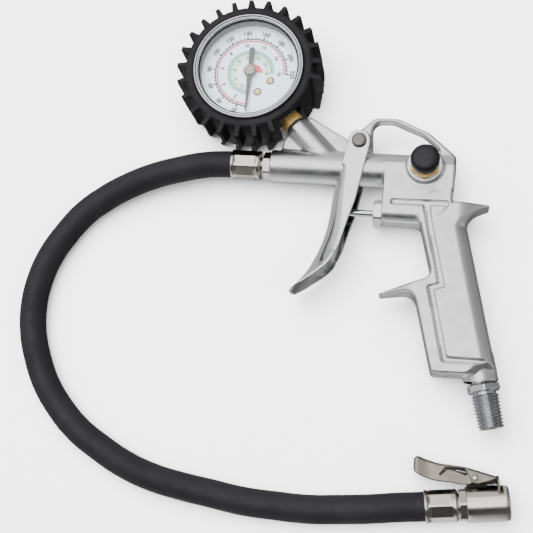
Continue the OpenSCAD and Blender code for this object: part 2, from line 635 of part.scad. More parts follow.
// Route of the hose from inside the gun's ferrule to inside the chuck's, in the gun frame
route = [
    [-8, 0, 0], [-22, 0, 0], [-36, -1, -0.4], [-50, -4, -1.2], [-64, -8, -2.4], [-78, -14, -3.9],
    [-90, -21, -5.3], [-101, -30, -6.2], [-110, -42, -6.5], [-117, -55, -6.5], [-121, -69, -6.5],
    [-122, -83, -6.5], [-120, -97, -6.5], [-115, -111, -6.5], [-108, -124, -6.5], [-99, -135, -6.5],
    [-88, -145, -6.5], [-75, -153, -6.5], [-61, -160, -6.5], [-46, -165, -6.5], [-30, -168, -6.5],
    [-14, -170, -6.5], [2, -172, -6.5], [18, -172.5, -6.5], [34, -172.5, -6.5], [50, -171, -6.5],
    [66, -169, -6.3], [78, -167, -5.7], [89.8, -165.4, -5.2], [103.6, -163.3, -5.2]];
hose_sides = 12;

function along(i) = unit(i == 0 ? route[1] - route[0] : i == len(route) - 1 ? route[i] - route[i - 1] :
    unit(route[i + 1] - route[i]) + unit(route[i] - route[i - 1]));
function hose_ring(i) = let (t = along(i), side = unit(cross([0, 0, 1], t)), up = cross(t, side))
    [for (k = [0:hose_sides - 1]) route[i] + hose_r * (cos(k * 360 / hose_sides) * side
        + sin(k * 360 / hose_sides) * up)];
hose_points = [for (i = [0:len(route) - 1]) each hose_ring(i)];
hose_faces = concat(
    [[for (k = [0:hose_sides - 1]) k]],
    [for (i = [0:len(route) - 2]) for (k = [0:hose_sides - 1])
        let (a = i * hose_sides, b = a + hose_sides, n = (k + 1) % hose_sides) [a + k, b + k, b + n, a + n]],
    [[for (k = [hose_sides - 1:-1:0]) (len(route) - 1) * hose_sides + k]]);
module hose() color(black_rubber) place() polyhedron(hose_points, hose_faces, convexity = 10);

// A crimped ferrule from local z = 0, where the hose enters, to its closed end
module ferrule() rotate_extrude() polygon([
    [hose_r + 0.02, 0], [ferrule_r + 0.3, 0], [ferrule_r + 0.3, 1.0], [ferrule_r, 1.6],
    [ferrule_r, ferrule_l - 2.2], [ferrule_r + 0.25, ferrule_l - 1.6], [ferrule_r + 0.25, ferrule_l - 0.6],
    [ferrule_r - 0.4, ferrule_l], [4.25, ferrule_l], [4.25, ferrule_l - 0.8],
    [hose_r + 0.02, ferrule_l - 0.8]]);

// A hose tail: barb inside the hose, collar, and a hexagon that ends at local z = length.
// turn is the angle of one of the hexagon's corners.
module hose_tail(length, flats, hex_l, turn, spigot_r, spigot_l) difference() {
    union() {
        for (i = [0:3]) translate([0, 0, 1 + i * 3]) cylinder(r1 = 3.8, r2 = 4.2, h = 3);
        translate([0, 0, 12.9]) cylinder(r = 4.2, h = length - hex_l - 12.9);
        translate([0, 0, length - hex_l - 0.42]) cylinder(r = 5.6, h = 0.5);
        intersection() {
            translate([0, 0, length - hex_l]) hexagon(flats, hex_l, turn);
            translate([0, 0, length - hex_l]) cylinder(r1 = flats / 2 + 0.6, r2 = flats / 2 + 4.6, h = 4);
        }
        translate([0, 0, length - 0.1]) cylinder(r = spigot_r, h = spigot_l + 0.1);
    }
    translate([0, 0, -1]) cylinder(r = 2.8, h = length + spigot_l + 2);
}

gun_tail_at = -20.8;
chuck_tail_at = 0.7;
module hose_tail_gun() color(warm_nickel) place() along_x(gun_tail_at)
    hose_tail(-gun_tail_at - 0.2, 13, 3.4, 48, socket_r - run_gap, 8.6);
module ferrule_gun() color(warm_nickel) place() along_x(gun_tail_at) ferrule();
module ferrule_chuck() color(warm_nickel) place() along_chuck(chuck_tail_at) ferrule();
module hose_tail_chuck() color(warm_nickel) place() along_chuck(chuck_tail_at)
    hose_tail(chuck_start - chuck_tail_at - 0.04, 14.3, 3.2, 57, 4.95, 4);

// ---- Chuck ----

// Places along the chuck's axis and, for the lever's pivot and slot, above it
chuck_start = 20.4;
chuck_l = 20;
pivot_u = 25.3;
pivot_v = 12.0;
slot_from = 35.4;
slot_w = 2.4;
seal_from = 28;

module chuck_body() color(warm_nickel) place() difference() {
    union() {
        along_chuck(chuck_start) cylinder(r = chuck_r, h = chuck_l - 1);
        along_chuck(chuck_start + chuck_l - 1) cylinder(r1 = chuck_r, r2 = chuck_r - 0.9, h = 1);
        at_chuck() slab(-2.8, 2.8) polygon(rounded([[21.4, 5, 0], [21.4, 11, 1.5], [23.4, 13.9, 1.4],
            [27.0, 13.9, 1.4], [30.4, 9, 1.5], [31, 5, 0]], 3));
    }
    along_chuck(chuck_start - 1) cylinder(r = 2.5, h = chuck_l);
    along_chuck(chuck_start - 1) cylinder(r = 5.0, h = 5.2);
    along_chuck(seal_from - 3) cylinder(r = 4.0, h = 10);
    along_chuck(seal_from) cylinder(r = 5.6, h = 3.2);
    along_chuck(seal_from + 3) cylinder(r = mouth_r, h = chuck_l);
    at_chuck() translate([pivot_u, pivot_v, -10]) cylinder(r = rivet_r + run_gap, h = 20);
    at_chuck() translate([slot_from, 4.0, -10]) cube([slot_w, 10, 20]);
}

module chuck_seal() color(black_rubber) place() along_chuck(seal_from + 0.05) ring(5.55, 3.0, 3.0);

module valve_depressor() color(brass) place() {
    along_chuck(seal_from - 2.95) ring(3.95, 3.0, 1.4);
    at_chuck() for (turn = [0, 60, 120]) translate([seal_from - 2.95, 0, 0]) rotate([turn, 0, 0])
        translate([0, -3.4, -0.4]) cube([1.4, 6.8, 0.8]);
    along_chuck(seal_from - 2.95) cylinder(r = 1.0, h = 5.5);
}

lever_half = 6.3;
lever_sheet = 1.0;
lever_flank = [[-2.8, 18.0, 1.5], [-0.8, 24.0, 1], [3.2, 21.7, 8], [9.0, 19.4, 20], [14.2, 18.6, 20],
    [21.3, 17.4, 10], [34.2, 12.4, 0.6], [33.4, 11.4, 0.6], [28.4, 9.6, 3], [22.6, 9.2, 2.5],
    [17.9, 10.2, 20], [10.9, 11.5, 20], [5.7, 12.6, 15], [0.9, 14.5, 8]];
lever_top = [[-2.8, 18.0, 0.4], [-0.8, 24.0, 1], [3.2, 21.7, 8], [9.0, 19.4, 20], [14.2, 18.6, 20],
    [21.3, 17.4, 10], [36.4, 11.6, 0.8], [36.4, 4.6, 0.3], [35.5, 4.6, 0.3], [35.5, 11.0, 0.3],
    [21.0, 16.5, 10], [14.1, 17.6, 20], [8.9, 18.4, 20], [2.9, 20.6, 8],
    [-0.4, 22.4, 0.8], [-2.0, 17.6, 0.4]];
claw_half = 4.5;
module chuck_lever() color(warm_nickel) place() at_chuck() difference() {
    union() {
        for (side = [0, 1]) mirror([0, 0, side])
            slab(lever_half - lever_sheet, lever_half) polygon(rounded(lever_flank, 3));
        intersection() {
            slab(-lever_half, lever_half) polygon(rounded(lever_top, 3));
            slab(-10, 10) polygon([[-5, 10], [-5, 26], [34.5, 26], [34.5, 10]]);
        }
        slab(-claw_half, claw_half) polygon(rounded(lever_top, 3));
    }
    translate([pivot_u, pivot_v, -10]) cylinder(r = rivet_r + run_gap, h = 20);
}

module lever_rivet() color(bright_steel) place() at_chuck() translate([pivot_u, pivot_v, 0]) {
    translate([0, 0, -6.4]) cylinder(r = rivet_r, h = 12.8);
    for (side = [0, 1]) mirror([0, 0, side]) translate([0, 0, lever_half + 0.05])
        cylinder(r1 = 1.9, r2 = 1.3, h = 0.7);
}

module lever_spring() color(bright_steel) place() at_chuck() {
    for (side = [0, 1]) mirror([0, 0, side]) {
        for (i = [0:2]) translate([pivot_u, pivot_v, 3.2 + i * 0.7])
            rotate_extrude() translate([1.75, 0]) circle(r = 0.3, $fn = 16);
        translate([pivot_u + 1.75, pivot_v, 3.2]) cylinder(r = 0.24, h = 1.4, $fn = 16);
        translate([pivot_u + 0.3, pivot_v + 1.72, 4.6]) rotate([0, -90, -16])
            cylinder(r = 0.22, h = 9, $fn = 16);
        translate([pivot_u + 0.3, pivot_v - 1.72, 3.2]) rotate([0, -90, 8])
            cylinder(r = 0.22, h = 3.4, $fn = 16);
    }
}

body();
trigger();
trigger_pin();
pin_clip();
valve_rod();
poppet_seal();
valve_seat();
valve_spring();
gland_nut();
gland_ring();
inlet_nipple();
inlet_washer();
inlet_filter();
release_body();
release_cap();
release_stem();
release_seal();
release_spring();
gauge_socket();
gauge_washer();
gauge_case();
case_plug();
gauge_bezel();
gauge_lens();
gauge_dial();
dial_screws();
gauge_pointer();
pointer_arbor();
sector_gear();
gauge_link();
movement_plates();
movement_pillars();
hairspring();
bourdon_tube();
tube_tip();
gauge_boot();
hose_tail_gun();
ferrule_gun();
hose();
ferrule_chuck();
hose_tail_chuck();
chuck_body();
chuck_seal();
valve_depressor();
chuck_lever();
lever_rivet();
lever_spring();
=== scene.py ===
"""Looks of the tyre inflator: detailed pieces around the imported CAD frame.

Sizes are in millimetres in the gun frame: X along the barrel from its nose, Y towards the gauge, and
z = 0 at the casting's parting plane. GUN turns them into the row frame's metres.
"""
import json
import math

import bmesh
import bpy
import numpy as np
from mathutils import Matrix, Vector


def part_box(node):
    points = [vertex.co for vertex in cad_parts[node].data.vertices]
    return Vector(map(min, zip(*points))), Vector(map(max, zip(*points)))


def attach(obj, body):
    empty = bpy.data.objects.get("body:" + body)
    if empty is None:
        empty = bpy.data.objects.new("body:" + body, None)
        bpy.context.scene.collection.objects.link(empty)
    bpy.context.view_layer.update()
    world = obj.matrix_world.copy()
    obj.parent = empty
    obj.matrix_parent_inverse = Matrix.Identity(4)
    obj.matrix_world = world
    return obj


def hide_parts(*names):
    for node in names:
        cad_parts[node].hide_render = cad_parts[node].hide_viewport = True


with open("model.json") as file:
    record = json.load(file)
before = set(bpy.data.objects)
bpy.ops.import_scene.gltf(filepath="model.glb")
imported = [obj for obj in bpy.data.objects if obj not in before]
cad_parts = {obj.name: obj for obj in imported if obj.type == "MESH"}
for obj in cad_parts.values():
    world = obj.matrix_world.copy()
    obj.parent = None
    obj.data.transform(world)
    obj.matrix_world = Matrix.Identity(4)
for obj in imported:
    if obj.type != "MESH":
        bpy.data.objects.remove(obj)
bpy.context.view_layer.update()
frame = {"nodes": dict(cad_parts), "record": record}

# ---- Driving dimensions, as in part.scad but for RELEASE, which is (80, 0.6) there ----

REST = 13.5                     # parting plane above the table
GAUGE = (-15.0, 48.8)           # gauge centre
LEAN = math.radians(14.2)       # the handle's lean
INLET = (114.7, -107.1)         # middle of the inlet hexagon
CHUCK = (89.8, -165.4, 8.3 - REST)
CHUCK_TURN = math.radians(8.5)
BARREL_R = 8.5
PIVOT = (45.8, 12.8)
RELEASE = (79.8, 1.2)
VALVE_Y = -23.0
STEM_TURN = math.radians(-45)
HOSE_R = 7.0
TRIGGER_HALF = 10.1             # the trigger's half width
TRIGGER_SHEET = 1.2
LEVER_HALF = 6.3                # the chuck lever's half width
LEVER_SHEET = 1.0

bezel_low, bezel_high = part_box("gauge_bezel")
bezel_mid = (bezel_low + bezel_high) / 2
GUN = (Matrix.Translation((bezel_mid.x - GAUGE[0] / 1000, bezel_mid.y - GAUGE[1] / 1000, REST / 1000))
       @ Matrix.Scale(0.001, 4))


def gun(x, y, z=0.0):
    """A gun-frame point in the row frame, in metres."""
    return GUN @ Vector((x, y, z))


def along(direction, at):
    """A local frame whose Z runs along a direction in the plane, and whose X points down."""
    z = Vector(direction).normalized()
    x = Vector((0, 0, -1))
    y = z.cross(x)
    turn = Matrix((x, y, z)).transposed().to_4x4()
    return Matrix.Translation(at) @ turn


def new_object(name, data):
    obj = bpy.data.objects.new(name, data)
    bpy.context.scene.collection.objects.link(obj)
    return obj


BARREL_AXIS = along((1, 0, 0), (0, 0, 0))
VALVE_AXIS = along((1, 0, 0), (0, VALVE_Y, 0))
INLET_AXIS = along((math.sin(LEAN), -math.cos(LEAN), 0), (*INLET, 0))
STEM_AXIS = along((math.cos(STEM_TURN), math.sin(STEM_TURN), 0), (*GAUGE, 0))
CHUCK_FRAME = Matrix.Translation(CHUCK) @ Matrix.Rotation(CHUCK_TURN, 4, "Z")
CHUCK_AXIS = CHUCK_FRAME @ along((1, 0, 0), (0, 0, 0))
GAUGE_FRAME = Matrix.Translation((*GAUGE, 0))
RELEASE_FRAME = Matrix.Translation((*RELEASE, 0))
PIVOT_FRAME = Matrix.Translation((*PIVOT, 0))

# ---- Camera ----

CAMERA_AT = (87.3, -160.0, 469.0)
CAMERA_RIGHT = (0.9828, 0.1023, -0.1537)
CAMERA_UP = (-0.065, 0.9709, 0.2306)
SENSOR = 36.0                   # sensor width and focal length, in mm
FOCAL = 64.1651


def make_camera():
    data = bpy.data.cameras.new("camera")
    data.lens = FOCAL
    data.sensor_width = SENSOR
    camera = new_object("camera", data)
    right = Vector(CAMERA_RIGHT).normalized()
    up = Vector(CAMERA_UP)
    up = (up - right * up.dot(right)).normalized()
    turn = Matrix((right, up, right.cross(up))).transposed().to_4x4()
    camera.matrix_world = Matrix.Translation(gun(*CAMERA_AT)) @ turn
    bpy.context.scene.camera = camera


make_camera()

# ---- Materials ----


class Nodes:
    """A Principled material under construction. A grain is a noise's scale, detail and roughness."""

    def __init__(self, name, **values):
        self.material = bpy.data.materials.new(name)
        self.material.use_nodes = True
        self.tree = self.material.node_tree
        self.shader = self.tree.nodes["Principled BSDF"]
        for socket, value in values.items():
            self.shader.inputs[socket.replace("_", " ")].default_value = value
        self.coords = self.tree.nodes.new("ShaderNodeTexCoord").outputs["Object"]

    def node(self, kind, **values):
        made = self.tree.nodes.new(kind)
        for socket, value in values.items():
            made.inputs[socket.replace("_", " ")].default_value = value
        return made

    def link(self, a, b):
        self.tree.links.new(a, b)

    def noise(self, scale, detail, roughness=0.55):
        made = self.node("ShaderNodeTexNoise", Scale=scale, Detail=detail, Roughness=roughness)
        self.link(self.coords, made.inputs["Vector"])
        return made.outputs["Fac"]

    def ramp(self, value, low, high, start=0.35, end=0.65):
        """Maps a value to colours or greys between two stops."""
        made = self.node("ShaderNodeValToRGB")
        for stop, at, tone in zip(made.color_ramp.elements, (start, end), (low, high)):
            stop.position, stop.color = at, (*tone, 1) if hasattr(tone, "__len__") else (tone, tone, tone, 1)
        self.link(value, made.inputs["Fac"])
        return made.outputs["Color"]

    def colour(self, grain, low, high, start=0.35, end=0.65):
        self.link(self.ramp(self.noise(*grain), low, high, start, end), self.shader.inputs["Base Color"])

    def rough(self, grain, low, high):
        self.link(self.ramp(self.noise(*grain), low, high), self.shader.inputs["Roughness"])

    def bump(self, grain, depth, strength):
        made = self.node("ShaderNodeBump", Strength=strength, Distance=depth)
        self.link(self.noise(*grain), made.inputs["Height"])
        self.link(made.outputs["Normal"], self.shader.inputs["Normal"])


def cast_metal():
    m = Nodes("cast_aluminium", Metallic=1.0)
    m.colour((60, 5), (0.78, 0.79, 0.8), (0.87, 0.87, 0.88), 0.3, 0.7)
    m.rough((180, 5), 0.27, 0.38)
    m.bump((900, 6, 0.65), 0.00006, 0.35)
    return m.material


def plated(name, low, high, rough):
    m = Nodes(name, Metallic=1.0)
    m.colour((90, 4), low, high, 0.3, 0.7)
    m.rough((240, 4), rough * 0.8, rough * 1.3)
    m.bump((260, 3), 0.00003, 0.3)
    return m.material


def turned_metal(name, low, high, rough, metallic=1.0):
    m = Nodes(name, Metallic=metallic)
    m.colour((120, 4), low, high, 0.3, 0.7)
    m.rough((300, 5), rough * 0.75, rough * 1.3)
    m.bump((1500, 2), 0.00002, 0.4)
    return m.material


def inner_shaded_metal(name, low, high, rough, middle, half, inside):
    """A pressing whose inner faces, which stand half from the height middle and look to it, are painted dark
    as shade.
    """
    m = Nodes(name, Metallic=1.0)
    depth = m.tree.nodes.new("ShaderNodeSeparateXYZ")
    m.link(m.coords, depth.inputs["Vector"])
    away = m.node("ShaderNodeMath")
    away.operation = "SUBTRACT"
    away.inputs[1].default_value = (middle + REST) / 1000
    m.link(depth.outputs["Z"], away.inputs[0])
    facing = m.tree.nodes.new("ShaderNodeSeparateXYZ")
    m.link(m.tree.nodes.new("ShaderNodeNewGeometry").outputs["Normal"], facing.inputs["Vector"])
    product = m.node("ShaderNodeMath")
    product.operation = "MULTIPLY"
    m.link(away.outputs["Value"], product.inputs[0])
    m.link(facing.outputs["Z"], product.inputs[1])
    outside = m.node("ShaderNodeMapRange")
    for socket, value in (("From Min", -0.00093 * half), ("From Max", -0.00075 * half)):
        outside.inputs[socket].default_value = value
    m.link(product.outputs["Value"], outside.inputs["Value"])
    # Painted shade: the inner faces take the dark colour inside in place of the metal's own
    mix = m.tree.nodes.new("ShaderNodeMixRGB")
    mix.inputs["Color1"].default_value = (*inside, 1)
    m.link(outside.outputs["Result"], mix.inputs["Fac"])
    m.link(m.ramp(m.noise(90, 4), low, high, 0.3, 0.7), mix.inputs["Color2"])
    m.link(mix.outputs["Color"], m.shader.inputs["Base Color"])
    m.rough((240, 4), rough * 0.8, rough * 1.3)
    m.bump((260, 3), 0.00003, 0.3)
    return m.material


def rubber(name, low, high, rough, grain=0.00008, scale=700):
    m = Nodes(name, Specular_IOR_Level=0.2)
    m.colour((45, 5), low, high, 0.3, 0.7)
    m.rough((160, 4), rough - 0.07, rough + 0.08)
    m.bump((scale, 6, 0.7), grain, 0.5)
    return m.material


def plastic(name, low, high, rough):
    m = Nodes(name, Specular_IOR_Level=0.3)
    m.colour((80, 4), low, high, 0.3, 0.7)
    m.rough((260, 4), rough - 0.05, rough + 0.05)
    m.bump((1200, 4), 0.00002, 0.3)
    return m.material


def print_ink(name, colour, dark=0.85):
    m = Nodes(name, Roughness=0.45)
    m.colour((900, 3), tuple(c * dark for c in colour), colour, 0.35, 0.6)
    return m.material


def clear_lens():
    m = Nodes("lens_clear", IOR=1.45, Alpha=0.03)
    m.colour((20, 2), (0.92, 0.95, 0.96), (0.98, 0.99, 1.0))
    m.rough((30, 3), 0.03, 0.07)
    m.bump((15, 2), 0.00002, 0.2)
    return m.material


CAST = cast_metal()
BRIGHT = plated("bright_plate", (0.8, 0.81, 0.83), (0.86, 0.87, 0.88), 0.13)
DULL_STEEL = turned_metal("dull_steel", (0.24, 0.235, 0.225), (0.34, 0.33, 0.31), 0.42)
NICKEL = plated("warm_nickel", (0.7, 0.655, 0.6), (0.79, 0.745, 0.69), 0.15)
# Painted shade: the chuck lever's inner faces are coloured near black
SATIN = inner_shaded_metal("satin_nickel", (0.27, 0.245, 0.21), (0.34, 0.31, 0.265), 0.3, CHUCK[2],
                        LEVER_HALF - LEVER_SHEET, (0.12, 0.11, 0.1))
# Painted shade: the trigger's inner faces, mostly the far flange's, are coloured near black
PRESSED = inner_shaded_metal("pressed_bright", (0.8, 0.81, 0.83), (0.86, 0.87, 0.88), 0.13, 0.0,
                          TRIGGER_HALF - TRIGGER_SHEET, (0.14, 0.14, 0.145))
ZINC = plated("dark_zinc", (0.5, 0.51, 0.54), (0.68, 0.69, 0.72), 0.16)
HUB = turned_metal("hub_steel", (0.3, 0.28, 0.22), (0.38, 0.36, 0.29), 0.35)
SHADED = turned_metal("shaded_steel", (0.03, 0.026, 0.024), (0.05, 0.044, 0.04), 0.5)
BRASS = turned_metal("brass", (0.5, 0.33, 0.1), (0.62, 0.43, 0.15), 0.34, 0.6)
BOOT = rubber("boot_rubber", (0.0035, 0.0032, 0.0038), (0.006, 0.0055, 0.0064), 0.5)
HOSE = rubber("hose_rubber", (0.0055, 0.005, 0.0062), (0.008, 0.0074, 0.009), 0.55, 0.00005, 900)
SEAL = rubber("seal_rubber", (0.004, 0.004, 0.004), (0.007, 0.007, 0.007), 0.4, 0.00002)
FIBRE = rubber("fibre", (0.018, 0.014, 0.012), (0.03, 0.024, 0.02), 0.7)
CAP = plastic("cap_plastic", (0.003, 0.0026, 0.0034), (0.005, 0.0044, 0.0054), 0.36)
CASE = plastic("case_enamel", (0.004, 0.004, 0.0045), (0.008, 0.008, 0.0085), 0.4)
DIAL = print_ink("dial_white", (0.4, 0.475, 0.53), 0.97)
POINTER = plastic("pointer_black", (0.004, 0.004, 0.0045), (0.007, 0.007, 0.0075), 0.45)
LENS = clear_lens()
INK_BLACK = print_ink("ink_black", (0.004, 0.004, 0.006))
INK_RED = print_ink("ink_red", (0.34, 0.004, 0.004))
INK_TEAL = print_ink("ink_teal", (0.01, 0.17, 0.19))
INK_GREEN = print_ink("ink_green", (0.006, 0.12, 0.035))
INK_PALE = print_ink("ink_pale_green", (0.27, 0.42, 0.32), 0.97)

SLOT_LOOKS = {"cast": CAST, "bright": BRIGHT, "steel": DULL_STEEL, "nickel": NICKEL, "brass": BRASS,
              "boot": BOOT, "hose": HOSE, "seal": SEAL, "fibre": FIBRE, "cap": CAP, "case": CASE,
              "dial": DIAL, "pointer": POINTER, "lens": LENS}

# CAD nodes that look unlike the rest of their slot
NODE_LOOKS = {"dial_screws": BRASS}

for part in frame["record"]["subparts"]:
    looks = NODE_LOOKS.get(part["node"], SLOT_LOOKS[part["material_slot"]])
    cad = frame["nodes"][part["node"]]
    cad.data.materials.clear()
    cad.data.materials.append(looks)

# ---- Making pieces ----

NODE_BODY = {node: body for body, nodes in frame["record"]["behaviour"]["bodies"].items() for node in nodes}
NODE_SLOT = {part["node"]: part["material_slot"] for part in frame["record"]["subparts"]}


def finish_piece(obj, *nodes, shows=True, material=None, body=None, slot=None):
    """Gives a piece its material, and what it rides on and stands for."""
    lead = nodes[0] if nodes else None
    obj.data.materials.clear()
    obj.data.materials.append(material or SLOT_LOOKS[NODE_SLOT[lead]])
    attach(obj, body or NODE_BODY[lead])
    if nodes and shows:
        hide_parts(*nodes)
    return obj


def in_row(points, place):
    """Points in mm in a local frame of the gun frame, as metres in the row frame."""
    matrix = np.array(GUN @ place)
    return points @ matrix[:3, :3].T + matrix[:3, 3]


def mesh_object(name, verts, faces, place=Matrix.Identity(4), smooth=True, sharp=None):
    """A mesh of points in mm in a local frame of the gun frame."""
    points = in_row(np.asarray(verts, float).reshape(-1, 3), place)
    mesh = bpy.data.meshes.new(name)
    mesh.from_pydata(points.tolist(), [], [list(map(int, f)) for f in faces])
    mesh.validate()
    bm = bmesh.new()
    bm.from_mesh(mesh)
    bmesh.ops.recalc_face_normals(bm, faces=bm.faces)
    bm.to_mesh(mesh)
    bm.free()
    mesh.polygons.foreach_set("use_smooth", [smooth] * len(mesh.polygons))
    obj = new_object(name, mesh)
    if sharp:
        bpy.context.view_layer.objects.active = obj
        obj.select_set(True)
        bpy.ops.object.shade_smooth_by_angle(angle=math.radians(sharp))
        obj.select_set(False)
    return obj


def lathe(name, profile, place, steps=96, radius_at=None, sharp=38):
    """A closed profile of [radius, height] points turned round the local Z axis.

    radius_at(r, t, angle), if given, returns the radius at an angle, for flutes and flats."""
    rows = len(profile)
    r = np.array([p[0] for p in profile], float)[:, None]
    t = np.array([p[1] for p in profile], float)[:, None]
    angle = np.linspace(0, 2 * math.pi, steps, endpoint=False)[None, :]
    rad = r + 0 * angle if radius_at is None else radius_at(r, t, angle)
    verts = np.stack([rad * np.cos(angle), rad * np.sin(angle), t + 0 * angle], -1).reshape(-1, 3)
    rings = [(i * steps, (i + 1) % rows * steps) for i in range(rows)]
    faces = [(a + k, a + (k + 1) % steps, b + (k + 1) % steps, b + k) for a, b in rings for k in range(steps)]
    return mesh_object(name, verts, faces, place, sharp=sharp)


def carved(obj, tool):
    """obj less the tool, which is used up."""
    carve = obj.modifiers.new("carve", "BOOLEAN")
    carve.operation, carve.object, carve.solver = "DIFFERENCE", tool, "EXACT"
    bpy.context.view_layer.update()
    result = bpy.data.meshes.new_from_object(obj.evaluated_get(bpy.context.evaluated_depsgraph_get()))
    obj.modifiers.clear()
    obj.data = result
    bpy.data.objects.remove(tool)
    return obj


# ---- Signed distance fields, for castings and pressings ----


CORNER_STEPS = 6


def rounded(points):
    """An outline whose corners [x, y, r] are rounded to radius r."""
    out = []
    count = len(points)
    for i in range(count):
        a, b, c = points[i - 1], points[i], points[(i + 1) % count]
        r = b[2]
        if not r:
            out.append((b[0], b[1]))
            continue
        p = np.array(b[:2], float)
        u = np.array(a[:2], float) - p
        v = np.array(c[:2], float) - p
        u, v = u / np.linalg.norm(u), v / np.linalg.norm(v)
        half = math.acos(max(-1, min(1, float(u @ v)))) / 2
        mid = p + (u + v) / np.linalg.norm(u + v) * r / math.sin(half)
        first, last = p + u * r / math.tan(half) - mid, p + v * r / math.tan(half) - mid
        start = math.atan2(first[1], first[0])
        turn = math.atan2(last[1], last[0]) - start
        turn = (turn + math.pi) % (2 * math.pi) - math.pi
        for s in range(CORNER_STEPS + 1):
            w = start + turn * s / CORNER_STEPS
            out.append((mid[0] + r * math.cos(w), mid[1] + r * math.sin(w)))
    return out


def outline_field(points, x, y):
    """Signed distance from a closed outline, negative inside."""
    best = np.full(np.broadcast(x, y).shape, 1e9)
    inside = np.zeros(best.shape, bool)
    for (ax, ay), (bx, by) in zip(points, points[1:] + points[:1]):
        ex, ey = bx - ax, by - ay
        s = np.clip(((x - ax) * ex + (y - ay) * ey) / (ex * ex + ey * ey + 1e-12), 0, 1)
        best = np.minimum(best, (x - ax - s * ex) ** 2 + (y - ay - s * ey) ** 2)
        if ay != by:
            inside ^= ((ay > y) != (by > y)) & (x < ax + (y - ay) * ex / ey)
    return np.where(inside, -1, 1) * np.sqrt(best)


def smooth_step(value, low, high):
    s = np.clip((value - low) / (high - low), 0, 1)
    return s * s * (3 - 2 * s)


def join(a, b, blend=0.0):
    """Union, with a fillet."""
    if not blend:
        return np.minimum(a, b)
    h = np.maximum(blend - np.abs(a - b), 0) / blend
    return np.minimum(a, b) - h * h * blend / 4


def cut(a, b, blend=0.0):
    """a without b, with softened edges."""
    return -join(-a, b, blend)


def both(a, b, edge=0.0):
    """Intersection, with edges rounded to a radius."""
    if np.ndim(edge) == 0 and not edge:
        return np.maximum(a, b)
    u, v = a + edge, b + edge
    return np.minimum(np.maximum(u, v), 0) + np.hypot(np.maximum(u, 0), np.maximum(v, 0)) - edge


class Grid:
    """A block of sample points, in mm."""

    def __init__(self, low, high, step):
        self.low, self.step = np.array(low, float), step
        axes = [np.arange(a, b + step, step, dtype=np.float32) for a, b in zip(low, high)]
        self.x, self.y, self.z = (axes[0][:, None, None], axes[1][None, :, None], axes[2][None, None, :])

    def rod(self, start, end, radius, edge):
        """A round bar with rounded ends."""
        a, b = np.array(start, float), np.array(end, float)
        length = np.linalg.norm(b - a)
        u = (b - a) / length
        px, py, pz = self.x - a[0], self.y - a[1], self.z - a[2]
        t = px * u[0] + py * u[1] + pz * u[2]
        radial = np.sqrt(np.maximum(px * px + py * py + pz * pz - t * t, 0))
        return both(radial - radius, np.abs(t - length / 2) - length / 2, edge)

    def outline(self, points):
        """An outline with rounded corners, for all heights."""
        return outline_field(rounded(points), self.x, self.y)

    def plate(self, points, low, high, edge):
        """An outline between two heights, with rounded edges."""
        return both(self.outline(points), np.abs(self.z - (low + high) / 2) - (high - low) / 2, edge)

    def surface(self, field):
        """Vertices and quads of the field's zero surface, by surface nets."""
        f = np.broadcast_to(field, (self.x.size, self.y.size, self.z.size))
        inside = f < 0
        corners = [(i, j, k) for i in (0, 1) for j in (0, 1) for k in (0, 1)]
        shape = tuple(n - 1 for n in f.shape)

        def window(array, c):
            return array[c[0]:c[0] + shape[0], c[1]:c[1] + shape[1], c[2]:c[2] + shape[2]]

        count = sum(window(inside, c).astype(np.int8) for c in corners)
        cells = np.argwhere((count > 0) & (count < 8))
        index = np.full(shape, -1, np.int64)
        index[tuple(cells.T)] = np.arange(len(cells))
        values = np.stack([f[tuple((cells + c).T)] for c in corners], 1).astype(float)
        total = np.zeros((len(cells), 3))
        hits = np.zeros((len(cells), 1))
        for a in range(8):
            for b in range(a + 1, 8):
                ca, cb = np.array(corners[a]), np.array(corners[b])
                if np.abs(ca - cb).sum() != 1:
                    continue
                va, vb = values[:, a:a + 1], values[:, b:b + 1]
                crosses = (va < 0) != (vb < 0)
                s = np.where(crosses, va / np.where(crosses, va - vb, 1), 0)
                total += np.where(crosses, ca + s * (cb - ca), 0)
                hits += crosses
        verts = (cells + total / hits) * self.step + self.low
        quads = []
        for axis in range(3):
            others = [n for n in range(3) if n != axis]
            low = [slice(None)] * 3
            high = [slice(None)] * 3
            low[axis], high[axis] = slice(0, -1), slice(1, None)
            flips = inside[tuple(low)] != inside[tuple(high)]
            edges = np.argwhere(flips)
            edges = edges[(edges[:, others[0]] > 0) & (edges[:, others[1]] > 0)
                          & (edges[:, others[0]] < shape[others[0]])
                          & (edges[:, others[1]] < shape[others[1]])]
            starts_inside = inside[tuple(edges.T)]
            ring = []
            for du, dv in ((1, 1), (0, 1), (0, 0), (1, 0)):
                step = np.zeros(3, int)
                step[others[0]], step[others[1]] = du, dv
                ring.append(index[tuple((edges - step).T)])
            ring = np.stack(ring, 1)
            if axis == 1:
                starts_inside = ~starts_inside
            ring[~starts_inside] = ring[~starts_inside][:, ::-1]
            quads.append(ring)
        return verts, np.concatenate(quads)


def field_object(name, grid, field, place=Matrix.Identity(4)):
    """The zero surface of a field, in a local frame of the gun frame."""
    verts, quads = grid.surface(field)
    points = in_row(verts, place)
    mesh = bpy.data.meshes.new(name)
    mesh.vertices.add(len(points))
    mesh.vertices.foreach_set("co", points.astype(np.float32).ravel())
    mesh.loops.add(quads.size)
    mesh.loops.foreach_set("vertex_index", quads.astype(np.int32).ravel())
    mesh.polygons.add(len(quads))
    mesh.polygons.foreach_set("loop_start", np.arange(0, quads.size, 4, dtype=np.int32))
    mesh.polygons.foreach_set("use_smooth", np.ones(len(quads), bool))
    mesh.update(calc_edges=True)
    return new_object(name, mesh)


# ---- Hose ----

